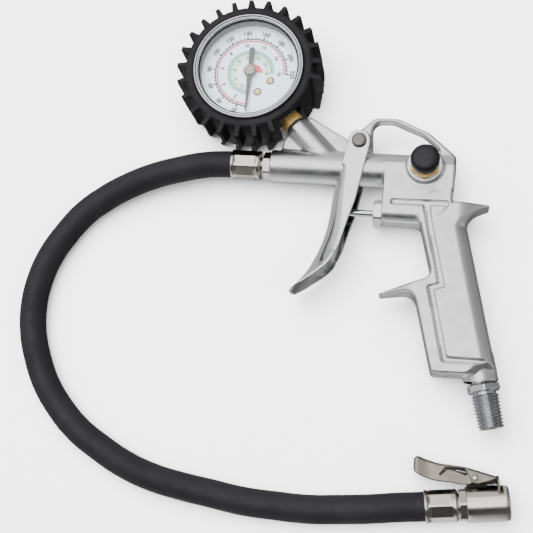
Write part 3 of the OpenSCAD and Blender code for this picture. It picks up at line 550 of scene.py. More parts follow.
ROUTE = [
    (-8, 0, 0), (-22, 0, 0), (-36, -1, -0.4), (-50, -4, -1.2), (-64, -8, -2.4), (-78, -14, -3.9),
    (-90, -21, -5.3), (-101, -30, -6.2), (-110, -42, -6.5), (-117, -55, -6.5), (-121, -69, -6.5),
    (-122, -83, -6.5), (-120, -97, -6.5), (-115, -111, -6.5), (-108, -124, -6.5), (-99, -135, -6.5),
    (-88, -145, -6.5), (-75, -153, -6.5), (-61, -160, -6.5), (-46, -165, -6.5), (-30, -168, -6.5),
    (-14, -170, -6.5), (2, -172, -6.5), (18, -172.5, -6.5), (34, -172.5, -6.5), (50, -171, -6.5),
    (66, -169, -6.3), (78, -167, -5.7), (89.8, -165.4, -5.2), (103.6, -163.3, -5.2)]
FERRULE_MOUTH = -20.8


def make_hose():
    data = bpy.data.curves.new("air_hose", "CURVE")
    data.dimensions = "3D"
    data.bevel_depth = HOSE_R / 1000
    data.bevel_resolution = 12
    data.resolution_u = 10
    data.use_fill_caps = True
    spline = data.splines.new("BEZIER")
    spline.bezier_points.add(len(ROUTE) - 1)
    for knot, point in zip(spline.bezier_points, ROUTE):
        knot.co = gun(*point)
        knot.handle_left_type = knot.handle_right_type = "AUTO"
    hose = new_object("air_hose", data)
    finish_piece(hose, "hose")


make_hose()

# ---- Cast body ----

BLOCK_FRONT, BLOCK_REAR, BLOCK_HALF, BLOCK_DROP = 59.5, 94.8, 8.7, 28.3
GRIP_TOP, GRIP_END = -16.6, -103.0           # heights between which the handle widens, and its
GRIP_HALF_TOP, GRIP_HALF_END = 9.0, 10.9     # half widths there
BOSS_FROM, BOSS_TO, BOSS_R = 36.7, 66.0, 6.5   # gauge boss, from the gauge's middle along its stem
PIN_HOLE_R = 2.1
GROOVE_DEPTH = 1.0
HANDLE_OUTLINE = [
    (78, -17, 0), (78, -28.2, 0), (79.4, -28.3, 1.5), (86.8, -55.4, 4.5), (61.4, -64.8, 0.5),
    (61, -66.6, 0.8), (78.4, -62.6, 6), (89.2, -102.8, 2), (104.6, -102.4, 0), (120.2, -98.4, 0),
    (118.9, -94.5, 0), (101.2, -23, 8), (113.9, -17.6, 0.9), (111.8, -16.1, 1.2), (94.2, -16.3, 0),
    (94.2, -12, 0), (84, -12, 0)]
ARCH_OUTLINE = [
    (44, 6, 0), (42.5, 18.2, 3), (52.4, 28.2, 6), (64.5, 28.2, 10), (81, 21, 14), (94.8, 9.2, 3),
    (94.8, 0, 0), (50, 0, 0)]
WINDOW = [
    (52.4, 8.2, 1.2), (51.8, 25.6, 4.5), (62, 26.2, 9), (78, 19.6, 10), (88.2, 11.2, 3),
    (85, 8.2, 1)]
GUSSET = [(4.2, 6, 0), (5.4, 15, 0), (10, 21, 0), (18.2, 28, 0.8), (38.6, 16.4, 2), (42, 12, 0), (42, 6, 0)]
SLOT_GROOVE = [(64.2, -17.2, 1), (92.8, -17, 1), (92.8, -19.4, 1), (64.2, -19.6, 1)]
GRIP_GROOVE = [
    (80.2, -19, 0), (81.9, -26, 0), (90.2, -59, 0.5), (85, -60.7, 0.5), (94.3, -97.3, 1.5),
    (118.4, -96.6, 0), (118, -94.8, 0), (96.2, -95, 1.5), (88.1, -62.2, 0.5), (93.3, -60.6, 0.5),
    (84.9, -27, 0), (83.6, -19, 0)]
REAR_LINE = ((118.9, -94.5), (0.9694, 0.2453))   # a point on the handle's back, and outwards from it


def make_body():
    g = Grid((-1.2, -105.5, -12.6), (124, 30, 12.6), 0.6)
    x, y, z = g.x, g.y, g.z
    depth = np.abs(z)
    barrel = g.rod((0, 0, 0), (BLOCK_REAR, 0, 0), BARREL_R, 0.7)

    profile = outline_field(rounded([(3, -BLOCK_HALF, 0), (-BLOCK_DROP, -BLOCK_HALF, 5.5),
                                     (-BLOCK_DROP, BLOCK_HALF, 5.5), (3, BLOCK_HALF, 0)]), y, z)
    side = outline_field(rounded([(BLOCK_FRONT, 5, 0), (BLOCK_FRONT, -BLOCK_DROP, 1), (84, -BLOCK_DROP, 0),
                                  (94.2, -17, 0), (94.2, -10, 0), (BLOCK_REAR, -9.4, 0),
                                  (BLOCK_REAR, 5, 0)]), x, y)
    block = both(side, profile, 0.7)

    # The handle widens downwards, its front edges are crisp and its back is well rounded
    half = (8.55 + 0.45 * smooth_step(-y, 17, 34)
            + (GRIP_TOP - y) * (GRIP_HALF_END - GRIP_HALF_TOP) / (GRIP_TOP - GRIP_END))
    half = half - 5.2 * smooth_step(80 - x, 0, 19) * (y < -50) - 3.6 * smooth_step(x, 97, 112) * (y > -30)
    behind = (x - REAR_LINE[0][0]) * REAR_LINE[1][0] + (y - REAR_LINE[0][1]) * REAR_LINE[1][1]
    edge = 1.3 + 6.2 * smooth_step(behind, -15, -5) * smooth_step(-y, 20, 30)
    handle = both(g.outline(HANDLE_OUTLINE), depth - half, edge)

    arch = both(cut(g.outline(ARCH_OUTLINE), g.outline(WINDOW)), depth - 3.4, 1.3)
    lug = g.rod((*PIVOT, -8.6), (*PIVOT, 8.6), 5.7, 0.5)
    post = both(outline_field([(41.5, 4), (41.5, 11), (50.5, 11), (50.5, 4)], x, y), depth - 5, 1.2)
    sx, sy = math.cos(STEM_TURN), math.sin(STEM_TURN)
    boss = g.rod((GAUGE[0] + BOSS_FROM * sx, GAUGE[1] + BOSS_FROM * sy, 0),
                 (GAUGE[0] + BOSS_TO * sx, GAUGE[1] + BOSS_TO * sy, 0), BOSS_R, 1.1)
    gusset = both(g.outline(GUSSET), depth - 1.5, 0.6)
    release = g.rod((*RELEASE, 0), (*RELEASE, 10.5), 9.3, 0.8)
    # The neck stands half a millimetre to one side of the inlet's axis
    lx, ly = math.sin(LEAN), -math.cos(LEAN)
    nx, ny = INLET[0] + 0.5 * ly, INLET[1] - 0.5 * lx
    neck = g.rod((nx - 16 * lx, ny - 16 * ly, 0), (nx - 2 * lx, ny - 2 * ly, 0), 8.3, 0.5)

    field = join(barrel, block, 1.0)
    field = join(field, handle, 1.5)
    field = join(field, join(arch, join(lug, post, 2), 2.5), 2.2)
    field = join(field, join(boss, gusset, 0.7), 1.4)
    field = join(field, release, 1.2)
    field = join(field, neck, 1.2)
    groove = join(both(g.outline(SLOT_GROOVE), (BLOCK_HALF - GROOVE_DEPTH) - depth),
                  both(g.outline(GRIP_GROOVE), (half - GROOVE_DEPTH) - depth))
    field = cut(field, groove, 0.5)
    field = cut(field, np.hypot(x - PIVOT[0], y - PIVOT[1]) - PIN_HOLE_R)
    field = cut(field, g.rod((-4, 0, 0), (9, 0, 0), 6.05, 0.1))
    # Only the mouth of the gland's bore is cut, and no passage for the valve rod or the release stem
    field = cut(field, both(g.rod((54, VALVE_Y, 0), (72, VALVE_Y, 0), 5.05, 0.1), VALVE_Y - 4.4 - y))
    finish_piece(field_object("cast_body", g, field), "body")


make_body()

# ---- Trigger: a pressed steel channel that ends in a curved lip ----

# Front of the web along its middle, and how far its sides stand behind that, both by height
WEB_FRONT = [
    (-72, 11.6), (-66.8, 16), (-62, 19.6), (-58, 22.4), (-54, 24.8), (-50, 26.7),
    (-45, 28.8), (-40, 30.5), (-35, 31.8), (-26.5, 33.1), (-17, 33.8), (-9, 34.7), (20, 36)]
WEB_SAG = [
    (-72, 0.6), (-66, 1.2), (-62, 2.4), (-58, 4), (-54, 5.7), (-50, 6.7), (-45, 6.9),
    (-40, 6.2), (-33, 5.4), (-26.5, 4.7), (-17, 4), (-9, 3.4), (20, 3)]
SAG_AT = 9                      # distance from the middle at which the sides stand back by WEB_SAG
WEB_TOP = -1.5
BARREL_CLEARANCE_R = 8.85
TRIGGER_SIDE = [
    (40.1, 18.5, 5.3), (51.5, 18.5, 5.3), (51.3, 10.5, 3), (46.2, -19.2, 40), (43.5, -28.8, 60),
    (40, -42.5, 20), (37.8, -47.6, 1.5), (36.6, -51, 0), (33, -57, 0), (27, -64, 0), (20, -72, 0),
    (8, -76, 0), (4, -66, 0), (16, -54, 0), (24, -40, 0), (28, WEB_TOP, 0), (37.5, WEB_TOP, 0.4),
    (38.2, 2, 3), (39.8, 11, 4)]
# Half outline of the trigger seen from the front, as [z, y]
TRIGGER_FACE = [(TRIGGER_HALF, 25, 0), (TRIGGER_HALF, -57, 0), (9.6, -63, 4), (7.2, -66.9, 3.2)]


def flow(points, at):
    """A smooth curve through [position, value] points."""
    p, v = np.array(points, float).T
    slope = np.gradient(v, p)
    i = np.clip(np.searchsorted(p, at) - 1, 0, len(p) - 2)
    h = p[i + 1] - p[i]
    s = np.clip((at - p[i]) / h, 0, 1)
    return ((2 * s ** 3 - 3 * s ** 2 + 1) * v[i] + (s ** 3 - 2 * s ** 2 + s) * h * slope[i]
            + (3 * s ** 2 - 2 * s ** 3) * v[i + 1] + (s ** 3 - s ** 2) * h * slope[i + 1])


def make_trigger():
    g = Grid((12, -68.5, -11.2), (53, 20, 11.2), 0.35)
    x, y, z = g.x, g.y, g.z
    line = y.ravel()
    middle, sag = flow(WEB_FRONT, line), flow(WEB_SAG, line)
    across = (z / SAG_AT) ** 2
    front = middle[None, :, None] + sag[None, :, None] * across
    lean = (np.gradient(middle, line)[None, :, None] + np.gradient(sag, line)[None, :, None] * across)
    slope = np.sqrt(1 + lean ** 2 + (sag[None, :, None] * 2 * z / SAG_AT ** 2) ** 2)
    front = front - 5 * smooth_step(y, WEB_TOP, WEB_TOP + 3)
    flared = TRIGGER_HALF + 5 * smooth_step(-y, 45, 51)
    body = both((front - x) / slope, np.abs(z) - flared, 2.2)
    sheet = np.abs(body + TRIGGER_SHEET / 2) - TRIGGER_SHEET / 2
    face = rounded(TRIGGER_FACE + [(-a, b, r) for a, b, r in reversed(TRIGGER_FACE)])
    sheet = both(both(sheet, g.outline(TRIGGER_SIDE), 0.3), outline_field(face, z, y), 0.3)
    sheet = cut(sheet, np.hypot(y, z) - BARREL_CLEARANCE_R, 0.2)
    sheet = cut(sheet, np.hypot(x - PIVOT[0], y - PIVOT[1]) - PIN_HOLE_R)
    finish_piece(field_object("trigger_pressing", g, sheet), "trigger", material=PRESSED)


def make_trigger_pin():
    profile = [
        (0, 11.72), (1.6, 11.7), (2.9, 11.55), (3.6, 11.25), (3.88, 10.85), (3.9, 10.4), (3.75, 10.2),
        (2, 10.15), (2, -10.55), (1.5, -10.6), (1.5, -11.4), (2, -11.45), (1.9, -11.9), (1.6, -12),
        (0, -12)]
    finish_piece(lathe("pin_with_head", profile, PIVOT_FRAME, 48), "trigger_pin")


make_trigger()
make_trigger_pin()

# ---- Chuck lever: a bent steel pressing, in the chuck's frame ----

LEVER_TOP = [
    (-3.1, 17.7, 0.8), (-2.5, 22.7, 1.2), (-0.7, 24, 1), (3.2, 22, 12), (9, 19.7, 30),
    (14.2, 18.8, 30), (21.3, 17.5, 20), (36.4, 12, 1), (36.4, 0, 0), (-3.4, 0, 0)]
LEVER_SIDE = [
    (-4.5, 17, 0), (-4.5, 26, 0), (37, 26, 0), (37, 12.6, 0), (35.9, 12.4, 0.2), (35.9, 11.5, 0.3),
    (31, 10.1, 8), (26.6, 9.3, 2.5), (24, 9.9, 1.2), (22.4, 9.2, 1), (18.2, 9.5, 3),
    (14.4, 10.7, 12), (9.6, 11.2, 30), (4.8, 12.4, 20), (0.5, 14.3, 10), (-2.6, 16.4, 0.8),
    (-3.1, 17.4, 0.5)]
LEVER_WINDOW = [
    (8.8, 14.5, 0.3), (12.2, 17.8, 0.5), (20.8, 17, 0.4), (21.8, 13.3, 0.3), (16.4, 15.8, 6),
    (12.9, 16.7, 0.6), (9.5, 14.1, 0.3)]
LEVER_EAR = [
    (21, 18.5, 0), (22.9, 12.5, 3), (24, 9.9, 1.5), (26.5, 9, 2.5), (31, 9.9, 3), (36.5, 11.4, 0),
    (40, 12, 0), (40, 18, 0)]
EAR_SWELL = 0.35                # how far the ear stands out from the rest of the side
CLAW = (35.95, 8.6)             # the claw's middle
CLAW_HALVES = (0.5, 4.2, 5.2)
CLAW_SIDE = 0.6                 # below its middle the claw keeps only what lies beyond this
# Outline of the near-black plate under the front ear, which is painted shade
SHADE_PLATE = [(26.6, 9.1, 0), (35.3, 9, 0.2), (35.3, 11.6, 0.2), (31, 10.9, 0), (27, 10.4, 0)]
SHADE_PLATE_HALF = 4.4
RIVET = (25.3, 12.0)
RIVET_HOLE_R = 1.3


def make_lever():
    g = Grid((-5, 3.4, -7.6), (38, 25.4, 7.6), 0.28)
    u, v, w = g.x, g.y, g.z
    ear = g.outline(LEVER_EAR)
    half = (LEVER_HALF + 0.7 * smooth_step(u, 5, -3)
            + EAR_SWELL * smooth_step(ear, 0.25, -0.25) - EAR_SWELL)
    body = both(g.outline(LEVER_TOP), np.abs(w) - half, 1.5)
    sheet = np.abs(body + LEVER_SHEET / 2) - LEVER_SHEET / 2
    sheet = both(sheet, g.outline(LEVER_SIDE), 0.25)
    sheet = cut(sheet, np.maximum(g.outline(LEVER_WINDOW), 3 - w), 0.3)
    claw = both(both(np.abs(u - CLAW[0]) - CLAW_HALVES[0], np.abs(v - CLAW[1]) - CLAW_HALVES[1], 0.2),
                np.abs(w) - CLAW_HALVES[2], 0.3)
    claw = np.maximum(claw, np.minimum(CLAW_SIDE - w, CLAW[1] - v))
    sheet = join(sheet, claw, 0.4)
    sheet = cut(sheet, np.hypot(u - RIVET[0], v - RIVET[1]) - RIVET_HOLE_R)
    finish_piece(field_object("lever_pressing", g, sheet, CHUCK_FRAME), "chuck_lever", material=SATIN)
    # A near-black plate under the front ear, painted shade for the dark gap there. Its root lies inside the
    # chuck's lug
    shade_sheet = g.plate(SHADE_PLATE, -SHADE_PLATE_HALF, SHADE_PLATE_HALF, 0.2)
    finish_piece(field_object("painted_shade_plate", g, shade_sheet, CHUCK_FRAME), material=SHADED, body="lever",
                 slot="nickel")


make_lever()

# ---- Ferrules ----

FERRULE_L = 16.0
FLUTES = 8
CRIMP_FLAT, CRIMP_CORNER = 7.12, 7.62
GUN_TAIL = BARREL_AXIS @ Matrix.Translation((0, 0, FERRULE_MOUTH))
CHUCK_TAIL = CHUCK_AXIS @ Matrix.Translation((0, 0, 0.7))


def crimped(r, t, angle, turn=math.pi / FLUTES):
    """Flat crimps along the middle of a ferrule, with rounded ends."""
    beside = (angle + turn) % (2 * math.pi / FLUTES) - math.pi / FLUTES
    flat = np.minimum(CRIMP_FLAT / np.cos(beside), CRIMP_CORNER)
    share = smooth_step(t, 1.6, 2.6) * smooth_step(t, 13.6, 12.2) * (r > 7.2)
    return r + share * (flat - r)


def make_ferrule(name, place, radius, *nodes):
    outer = [(7.3, 0), (7.72, 0.08), (7.86, 0.35), (7.88, 0.8), (7.78, 1.2), (7.6, 1.6)]
    outer += [(7.5, t) for t in np.linspace(2.0, 13.2, 16)]
    outer += [(7.62, 13.7), (7.74, 14.2), (7.72, 14.7), (7.5, 15.2), (7.1, 15.6), (6.5, 15.9),
              (5.8, FERRULE_L)]
    inner = [(4.25, FERRULE_L), (4.25, 15.2), (7.02, 15.2), (7.02, 0.3)]
    finish_piece(lathe(name, outer + inner, place, 160, radius, sharp=50), *nodes)


make_ferrule("crimped_ferrule_gun", GUN_TAIL, crimped, "ferrule_gun")
make_ferrule("crimped_ferrule_chuck", CHUCK_TAIL, lambda r, t, angle: crimped(r, t, angle, 0.0),
             "ferrule_chuck")

# ---- Inlet nipple with its pipe thread ----

THREAD_R, THREAD_PITCH, THREAD_DEPTH = 6.8, 1.6, 1.1
THREAD_FROM, THREAD_TO = 3.7, 19.6
INLET_FLATS = 15
HEX_STEPS = 144
CORNER_LOSS = 0.25              # how much a hexagon's softened corners fall short


def hexagonal(flats, turn=0.0):
    """Radius of a hexagonal bar with softened corners. turn is the angle of one corner."""
    def radius(angle):
        off = (angle - turn) % (math.pi / 3) - math.pi / 6
        return np.minimum(flats / 2 / np.cos(off), flats / math.sqrt(3) - CORNER_LOSS)
    return radius


def nipple_radius(r, t, angle):
    hexagon = np.minimum(hexagonal(INLET_FLATS)(angle), r)
    phase = (t / THREAD_PITCH - angle / (2 * math.pi)) % 1
    ridge = np.clip(np.abs(phase - 0.5) * 2.5 - 0.125, 0, 1)
    deep = THREAD_DEPTH * smooth_step(t, THREAD_FROM - 0.4, THREAD_FROM + 0.5)
    taper = (t - THREAD_FROM) / 32
    thread = np.minimum(r, THREAD_R - taper - deep * ridge)
    made = np.where((t > -1.45) & (t < 2.05) & (r > 5.7), hexagon, r + 0 * angle)
    return np.where((t > THREAD_FROM) & (r > 5), thread, made)


def make_nipple():
    outer = [(5.2, -10), (5.2, -1.4), (7.6, -1.4), (8.4, -1.15), (8.62, -0.9), (8.62, 1), (8.3, 1.5),
             (7.4, 2), (5.6, 2), (5.6, 3.3)]
    outer += [(THREAD_R, t) for t in np.arange(THREAD_FROM + 0.01, THREAD_TO - 0.9, THREAD_PITCH / 16)]
    outer += [(THREAD_R - s, THREAD_TO - 0.9 + s) for s in np.linspace(0.1, 0.9, 7)]
    inner = [(4.3, THREAD_TO), (3.8, THREAD_TO - 0.5), (3.8, -10)]
    finish_piece(lathe("threaded_nipple", outer + inner, INLET_AXIS, 120, nipple_radius, sharp=32),
                 "inlet_nipple", material=ZINC)


make_nipple()

# ---- Hexagon fittings ----


def hexagon_part(name, profile, place, flats, turn, node):
    """A turned fitting. Profile points that have a third value are limited to the hexagon."""
    hexed = np.array([len(point) > 2 for point in profile])[:, None]
    limit = hexagonal(flats, math.radians(turn))

    def radius(r, t, angle):
        return np.where(hexed, np.minimum(r, limit(angle)), r + 0 * angle)

    finish_piece(lathe(name, [point[:2] for point in profile], place, HEX_STEPS, radius, sharp=25), node)


def make_fittings():
    hexagon_part("gun_tail_hexagon", [
        (4.2, 14.5), (4.2, 16.78), (5.6, 16.78), (5.6, 17.2), (6.9, 17.2, 1), (7.2, 17.3, 1), (7.6, 17.8, 1),
        (7.6, 20.1, 1), (7.3, 20.5, 1), (6.9, 20.6, 1), (5.98, 20.6), (5.98, 29), (2.8, 29), (2.8, 14.5)],
        GUN_TAIL, 13, 48, "hose_tail_gun")
    hexagon_part("chuck_tail_hexagon", [
        (4.2, 14.5), (4.2, 16.05), (5.6, 16.05), (5.6, 16.46), (7.5, 16.46, 1), (7.9, 16.6, 1),
        (8.3, 17.1, 1), (8.3, 19.2, 1), (8, 19.55, 1), (7.6, 19.66, 1), (4.95, 19.66), (4.95, 23.6),
        (2.8, 23.6), (2.8, 14.5)],
        CHUCK_TAIL, 14.3, 57, "hose_tail_chuck")
    hexagon_part("gland_hexagon", [
        (1.85, 55.5), (6.6, 55.5, 1), (7, 55.6, 1), (7.6, 56.2, 1), (7.74, 56.4, 1), (7.74, 59.2, 1),
        (7.5, 59.45, 1), (4.95, 59.45), (4.95, 66.2), (3, 66.2), (3, 63), (1.85, 63)],
        VALVE_AXIS, 13.4, 30, "gland_nut")
    hexagon_part("release_hexagon", [
        (2.4, 1.5), (4.95, 1.5), (4.95, 10.52), (7.2, 10.52, 1), (8, 10.8, 1), (8.08, 11, 1),
        (8.08, 13, 1), (7.7, 13.5, 1), (6.9, 13.9, 1), (3.6, 13.9), (3.6, 8), (1.7, 8), (1.7, 5), (2.4, 5)],
        RELEASE_FRAME, 14, 30, "release_body")
    hexagon_part("stem_hexagon", [
        (4.4, 20), (4.4, 29), (5.2, 29, 1), (5.4, 29.15, 1), (5.7, 29.6, 1), (5.7, 35, 1),
        (5.4, 35.5, 1), (5.1, 35.78, 1), (4.85, 35.8), (4.85, 45), (1.5, 45), (1.5, 20)],
        STEM_AXIS, 10, 30, "gauge_socket")


make_fittings()

# ---- Chuck ----

CHUCK_R = 8.3
LUG_OUTLINE = [
    (21.4, 7, 0), (21.4, 11, 1.5), (23.4, 13.9, 1.4), (27, 13.9, 1.4), (30.4, 9, 1.5), (31, 7, 0)]


def make_chuck():
    outer = [(5, 20.4), (7.9, 20.4), (8.22, 20.6), (CHUCK_R, 20.95)]
    outer += [(CHUCK_R, t) for t in np.linspace(23, 38, 6)]
    outer += [(8.27, 39), (8.12, 39.6), (7.85, 40.05), (7.5, 40.32), (7.1, 40.4), (6.3, 40.4), (6.1, 40.2)]
    inner = [(6.1, 31), (5.6, 31), (5.6, 28), (4, 28), (4, 25.6), (5, 25.6)]
    barrel = lathe("chuck_barrel", outer + inner, CHUCK_AXIS, 128, sharp=32)
    # The slot that the claw reaches through
    corners = [(u, v, w) for u in (35.4, 37.75) for v in (4.4, 12) for w in (0.3, 10)]
    sides = [(0, 1, 3, 2), (4, 6, 7, 5), (0, 4, 5, 1), (2, 3, 7, 6), (0, 2, 6, 4), (1, 5, 7, 3)]
    slot = mesh_object("slot_tool", corners, sides, CHUCK_FRAME)
    finish_piece(carved(barrel, slot), "chuck_body")
    g = Grid((20.5, 6.5, -3.4), (32.5, 14.5, 3.4), 0.25)
    lug = g.plate(LUG_OUTLINE, -2.8, 2.8, 0.4)
    lug = cut(lug, np.hypot(g.x - RIVET[0], g.y - RIVET[1]) - RIVET_HOLE_R)
    lug = both(lug, 7.9 - np.hypot(g.y, g.z))
    # Painted shade: the lug is near-black steel so that the gap under the lever looks shaded
    finish_piece(field_object("chuck_lug", g, lug, CHUCK_FRAME), "chuck_body", shows=False, material=SHADED)
    rivet = [(0, 7.25), (0.7, 7.2), (1.2, 7), (1.5, 6.7), (1.6, 6.4), (1.25, 6.38), (1.25, -6.38),
             (1.6, -6.4), (1.5, -6.7), (1.2, -7), (0.7, -7.2), (0, -7.25)]
    place = CHUCK_FRAME @ Matrix.Translation((*RIVET, 0))
    finish_piece(lathe("domed_rivet", rivet, place, 40), "lever_rivet")


make_chuck()

# ---- Release valve cap ----


def make_cap():
    profile = [(0, 22.42), (3, 22.4), (4.9, 22.2), (6, 21.85), (6.7, 21.3), (7.05, 20.6), (7.2, 19.8),
               (7.2, 16.9), (7.05, 16.5), (6.8, 16.4), (4, 16.4), (4, 19.2), (0, 19.2)]
    finish_piece(lathe("push_cap", profile, RELEASE_FRAME, 72, sharp=60), "release_cap")


make_cap()

# ---- Gauge: boot, bezel, lens and dial ----

BOOT_R = 34.4
LUG_R = 38.6
LUGS = 25
LUG_FIRST = math.radians(50.5)
LUG_LEAN = math.radians(-8)
BOOT_LOW, BOOT_RIM = -13.5, 16.8


def boot_radius(r, t, angle):
    """The boot's wall with its thin lugs, whose rear halves lean over."""
    lean = LUG_LEAN * np.clip(-t / 13.3, 0, 1)
    count = (angle - lean - LUG_FIRST) * LUGS / (2 * math.pi)
    nearest = LUG_FIRST + np.round(count) * 2 * math.pi / LUGS
    beside = (nearest - STEM_TURN + math.pi) % (2 * math.pi) - math.pi
    kept = (beside < math.radians(-15)) | (beside > math.radians(25))
    off = np.abs(count - np.round(count)) * 2 * math.pi / LUGS * 36.5
    top = LUG_R - 1.5 * np.clip((-t - 1) / 12.3, 0, 1)
    height = np.clip((1.75 - off) / 0.65, 0, 1) * (top - BOOT_R)
    ends = smooth_step(t, BOOT_LOW + 0.1, BOOT_LOW + 0.8) * smooth_step(t, 16.4, 15.7)
    outside = (r > 33) & (t > BOOT_LOW + 0.05) & (t < 16.5)
    return r + np.where(outside & kept, height * ends + (BOOT_R - r) * (height > 0) * ends, 0)


def make_boot():
    wall = [(30.5, BOOT_LOW), (32.2, BOOT_LOW), (32.9, -13.3), (33.4, -12.7), (33.9, -11.8)]
    wall += [(BOOT_R, t) for t in np.linspace(-10.8, 12.5, 44)]
    wall += [(34.3, 13.2), (34.2, 14), (34.05, 14.8), (33.9, 15.5), (33.7, 16.1), (33.3, 16.55),
             (32.7, BOOT_RIM)]
    inner = [(30.6, BOOT_RIM), (29.9, 16.6), (29.35, 16), (29.3, 10.6), (27.87, 10.5), (27.87, -11.05),
             (19.4, -11.05), (19, -11.4), (19, -13.1), (19.4, BOOT_LOW)]
    boot = lathe("tread_boot", wall + inner, GAUGE_FRAME, LUGS * 32, boot_radius, sharp=35)
    arch = [(-z, s) for s, z in rounded([(-8, -20, 0), (8, -20, 0), (8, 12.8, 3), (-8, 12.8, 3)])]
    n = len(arch)
    faces = [tuple(range(n)), tuple(range(n, 2 * n))]
    faces += [(i, (i + 1) % n, n + (i + 1) % n, n + i) for i in range(n)]
    notch = mesh_object("notch_tool", [(x, y, t) for t in (20, 52) for x, y in arch], faces, STEM_AXIS)
    finish_piece(carved(boot, notch), "gauge_boot")


def make_bezel():
    profile = [
        (27.82, 10.6), (29.25, 10.6), (29.25, 17.2), (29.12, 17.7), (28.85, 17.97), (28.5, 18),
        (28.25, 17.85), (28.12, 17.5), (27.95, 17.42), (27.8, 17.6), (27.55, 17.72), (27.2, 17.65),
        (26.9, 17.35), (26.75, 17), (26.75, 16), (27.82, 16)]
    finish_piece(lathe("rolled_bezel", profile, GAUGE_FRAME, 144, sharp=50), "gauge_bezel")


def make_lens():
    profile = [(0, 16.35)] + [(r, 16.35 - 0.4 * (r / 27.7) ** 2) for r in (6, 12, 18, 23, 27.3)]
    profile += [(27.68, 15.8), (27.68, 14.3), (27.4, 14.1), (0, 14.1)]
    finish_piece(lathe("domed_lens", profile, GAUGE_FRAME, 96, sharp=40), "gauge_lens")


make_boot()
make_bezel()
make_lens()

DIAL_LEVEL = 8.8
DIAL_START, DIAL_SWEEP = math.radians(-81), math.radians(281)
INK = 0.03
SCALE_FROM = 0.04               # the printed arcs start beside the resting pointer
SCREW_CIRCLE_R = 12.0
SCREW_SHARES = (-0.2097, -0.0533)   # the dial screws lie before the scale's start


class Print:
    """Thin printed marks on the dial, gathered into one mesh."""

    def __init__(self, level):
        self.level, self.verts, self.faces = DIAL_LEVEL + level, [], []

    def plate(self, outline):
        """A flat convex or thin shape, printed as a very thin plate."""
        n, first = len(outline), len(self.verts)
        for z in (self.level, self.level + INK):
            self.verts += [(x, y, z) for x, y in outline]
        self.faces += [tuple(first + i for i in reversed(range(n))), tuple(first + n + i for i in range(n))]
        self.faces += [(first + i, first + (i + 1) % n, first + n + (i + 1) % n, first + n + i)
                       for i in range(n)]

    def arc(self, inner, outer, share_from=0.0, share_to=1.0, steps=96):
        """A band along the scale. inner and outer may be functions of the share of the sweep."""
        shares = np.linspace(share_from, share_to, steps + 1)
        for a, b in zip(shares[:-1], shares[1:]):
            self.plate([polar(radius(s) if callable(radius) else radius, s)
                        for radius, s in ((outer, a), (outer, b), (inner, b), (inner, a))])

    def tick(self, inner, outer, share, width):
        angle = scale_angle(share)
        side = (-math.sin(angle) * width / 2, math.cos(angle) * width / 2)
        a, b = polar(inner, share), polar(outer, share)
        self.plate([(p[0] + k * side[0], p[1] + k * side[1]) for p, k in ((a, -1), (b, -1), (b, 1), (a, 1))])

    def fine_ticks(self, long, short, outer):
        """The ticks of a scale in 32 steps. Every fourth is longer and bolder."""
        for i in range(1, 33):
            major = i % 4 == 0
            self.tick(long if major else short, outer, i / 32, 0.6 if major else 0.45)

    def disc(self, radius, share, size):
        x, y = polar(radius, share)
        turns = [i * math.pi / 16 for i in range(32)]
        self.plate([(x + size * math.cos(a), y + size * math.sin(a)) for a in turns])

    def number(self, text, radius, share, size):
        """A number whose top points outwards."""
        curve = bpy.data.curves.new("number", "FONT")
        curve.body, curve.size, curve.align_x, curve.align_y = text, size, "CENTER", "CENTER"
        curve.extrude, curve.offset, curve.resolution_u = INK / 2, 0.16, 3
        carrier = new_object("number", curve)
        bpy.context.view_layer.update()
        mesh = carrier.evaluated_get(bpy.context.evaluated_depsgraph_get()).to_mesh()
        x, y = polar(radius, share)
        place = Matrix.Translation((x, y, self.level + INK / 2)) @ Matrix.Rotation(
            scale_angle(share) - math.pi / 2, 4, "Z")
        first = len(self.verts)
        self.verts += [tuple(place @ v.co) for v in mesh.vertices]
        self.faces += [tuple(first + i for i in p.vertices) for p in mesh.polygons]
        bpy.data.objects.remove(carrier)
        bpy.data.curves.remove(curve)

    def numbers(self, unit, steps, radius, size):
        """The numbers of a scale, one to each of its steps."""
        for i in range(1, steps + 1):
            self.number(str(unit * i), radius, i / steps, size)

    def done(self, name, ink):
        printed = mesh_object(name, self.verts, self.faces, GAUGE_FRAME, smooth=False)
        finish_piece(printed, material=ink, body="gun", slot="dial")


def scale_angle(share):
    return DIAL_START - DIAL_SWEEP * share


def polar(radius, share):
    angle = scale_angle(share)
    return radius * math.cos(angle), radius * math.sin(angle)


def make_dial_print():
    black = Print(0.03)
    black.arc(18.7, 19.45, SCALE_FROM)
    for i in range(2, 45):
        major, half = i % 4 == 0, i % 2 == 0
        black.tick(19.0, 20.9 if major else 20.4 if half else 20.0, i / 44, 0.9 if major else 0.6)
    black.numbers(20, 11, 22.5, 3.2)
    black.numbers(2, 8, 15.4, 2.5)
    for share in SCREW_SHARES:
        black.disc(SCREW_CIRCLE_R, share, 2.2)
    black.done("dial_black_print", INK_BLACK)

    red = Print(0.03)
    red.arc(17.6, 18.35, SCALE_FROM)
    red.fine_ticks(16.9, 17.3, 18.1)
    red.arc(2.0, lambda share: 3.2 + 3.6 * max(0.0, (share - 0.45) / 0.55) ** 1.2, 0.42, 1.0, 40)
    red.done("dial_red_print", INK_RED)

    band = Print(0.0)
    band.arc(7.6, 11.6, SCALE_FROM)
    band.done("dial_green_band", INK_PALE)

    teal = Print(0.03)
    teal.arc(11.9, 12.7, SCALE_FROM)
    teal.done("dial_teal_print", INK_TEAL)

    green = Print(0.04)
    green.arc(11.0, 11.55, SCALE_FROM)
    green.fine_ticks(10.0, 10.5, 11.3)
    green.numbers(2, 8, 8.7, 2.3)
    green.done("dial_green_print", INK_GREEN)


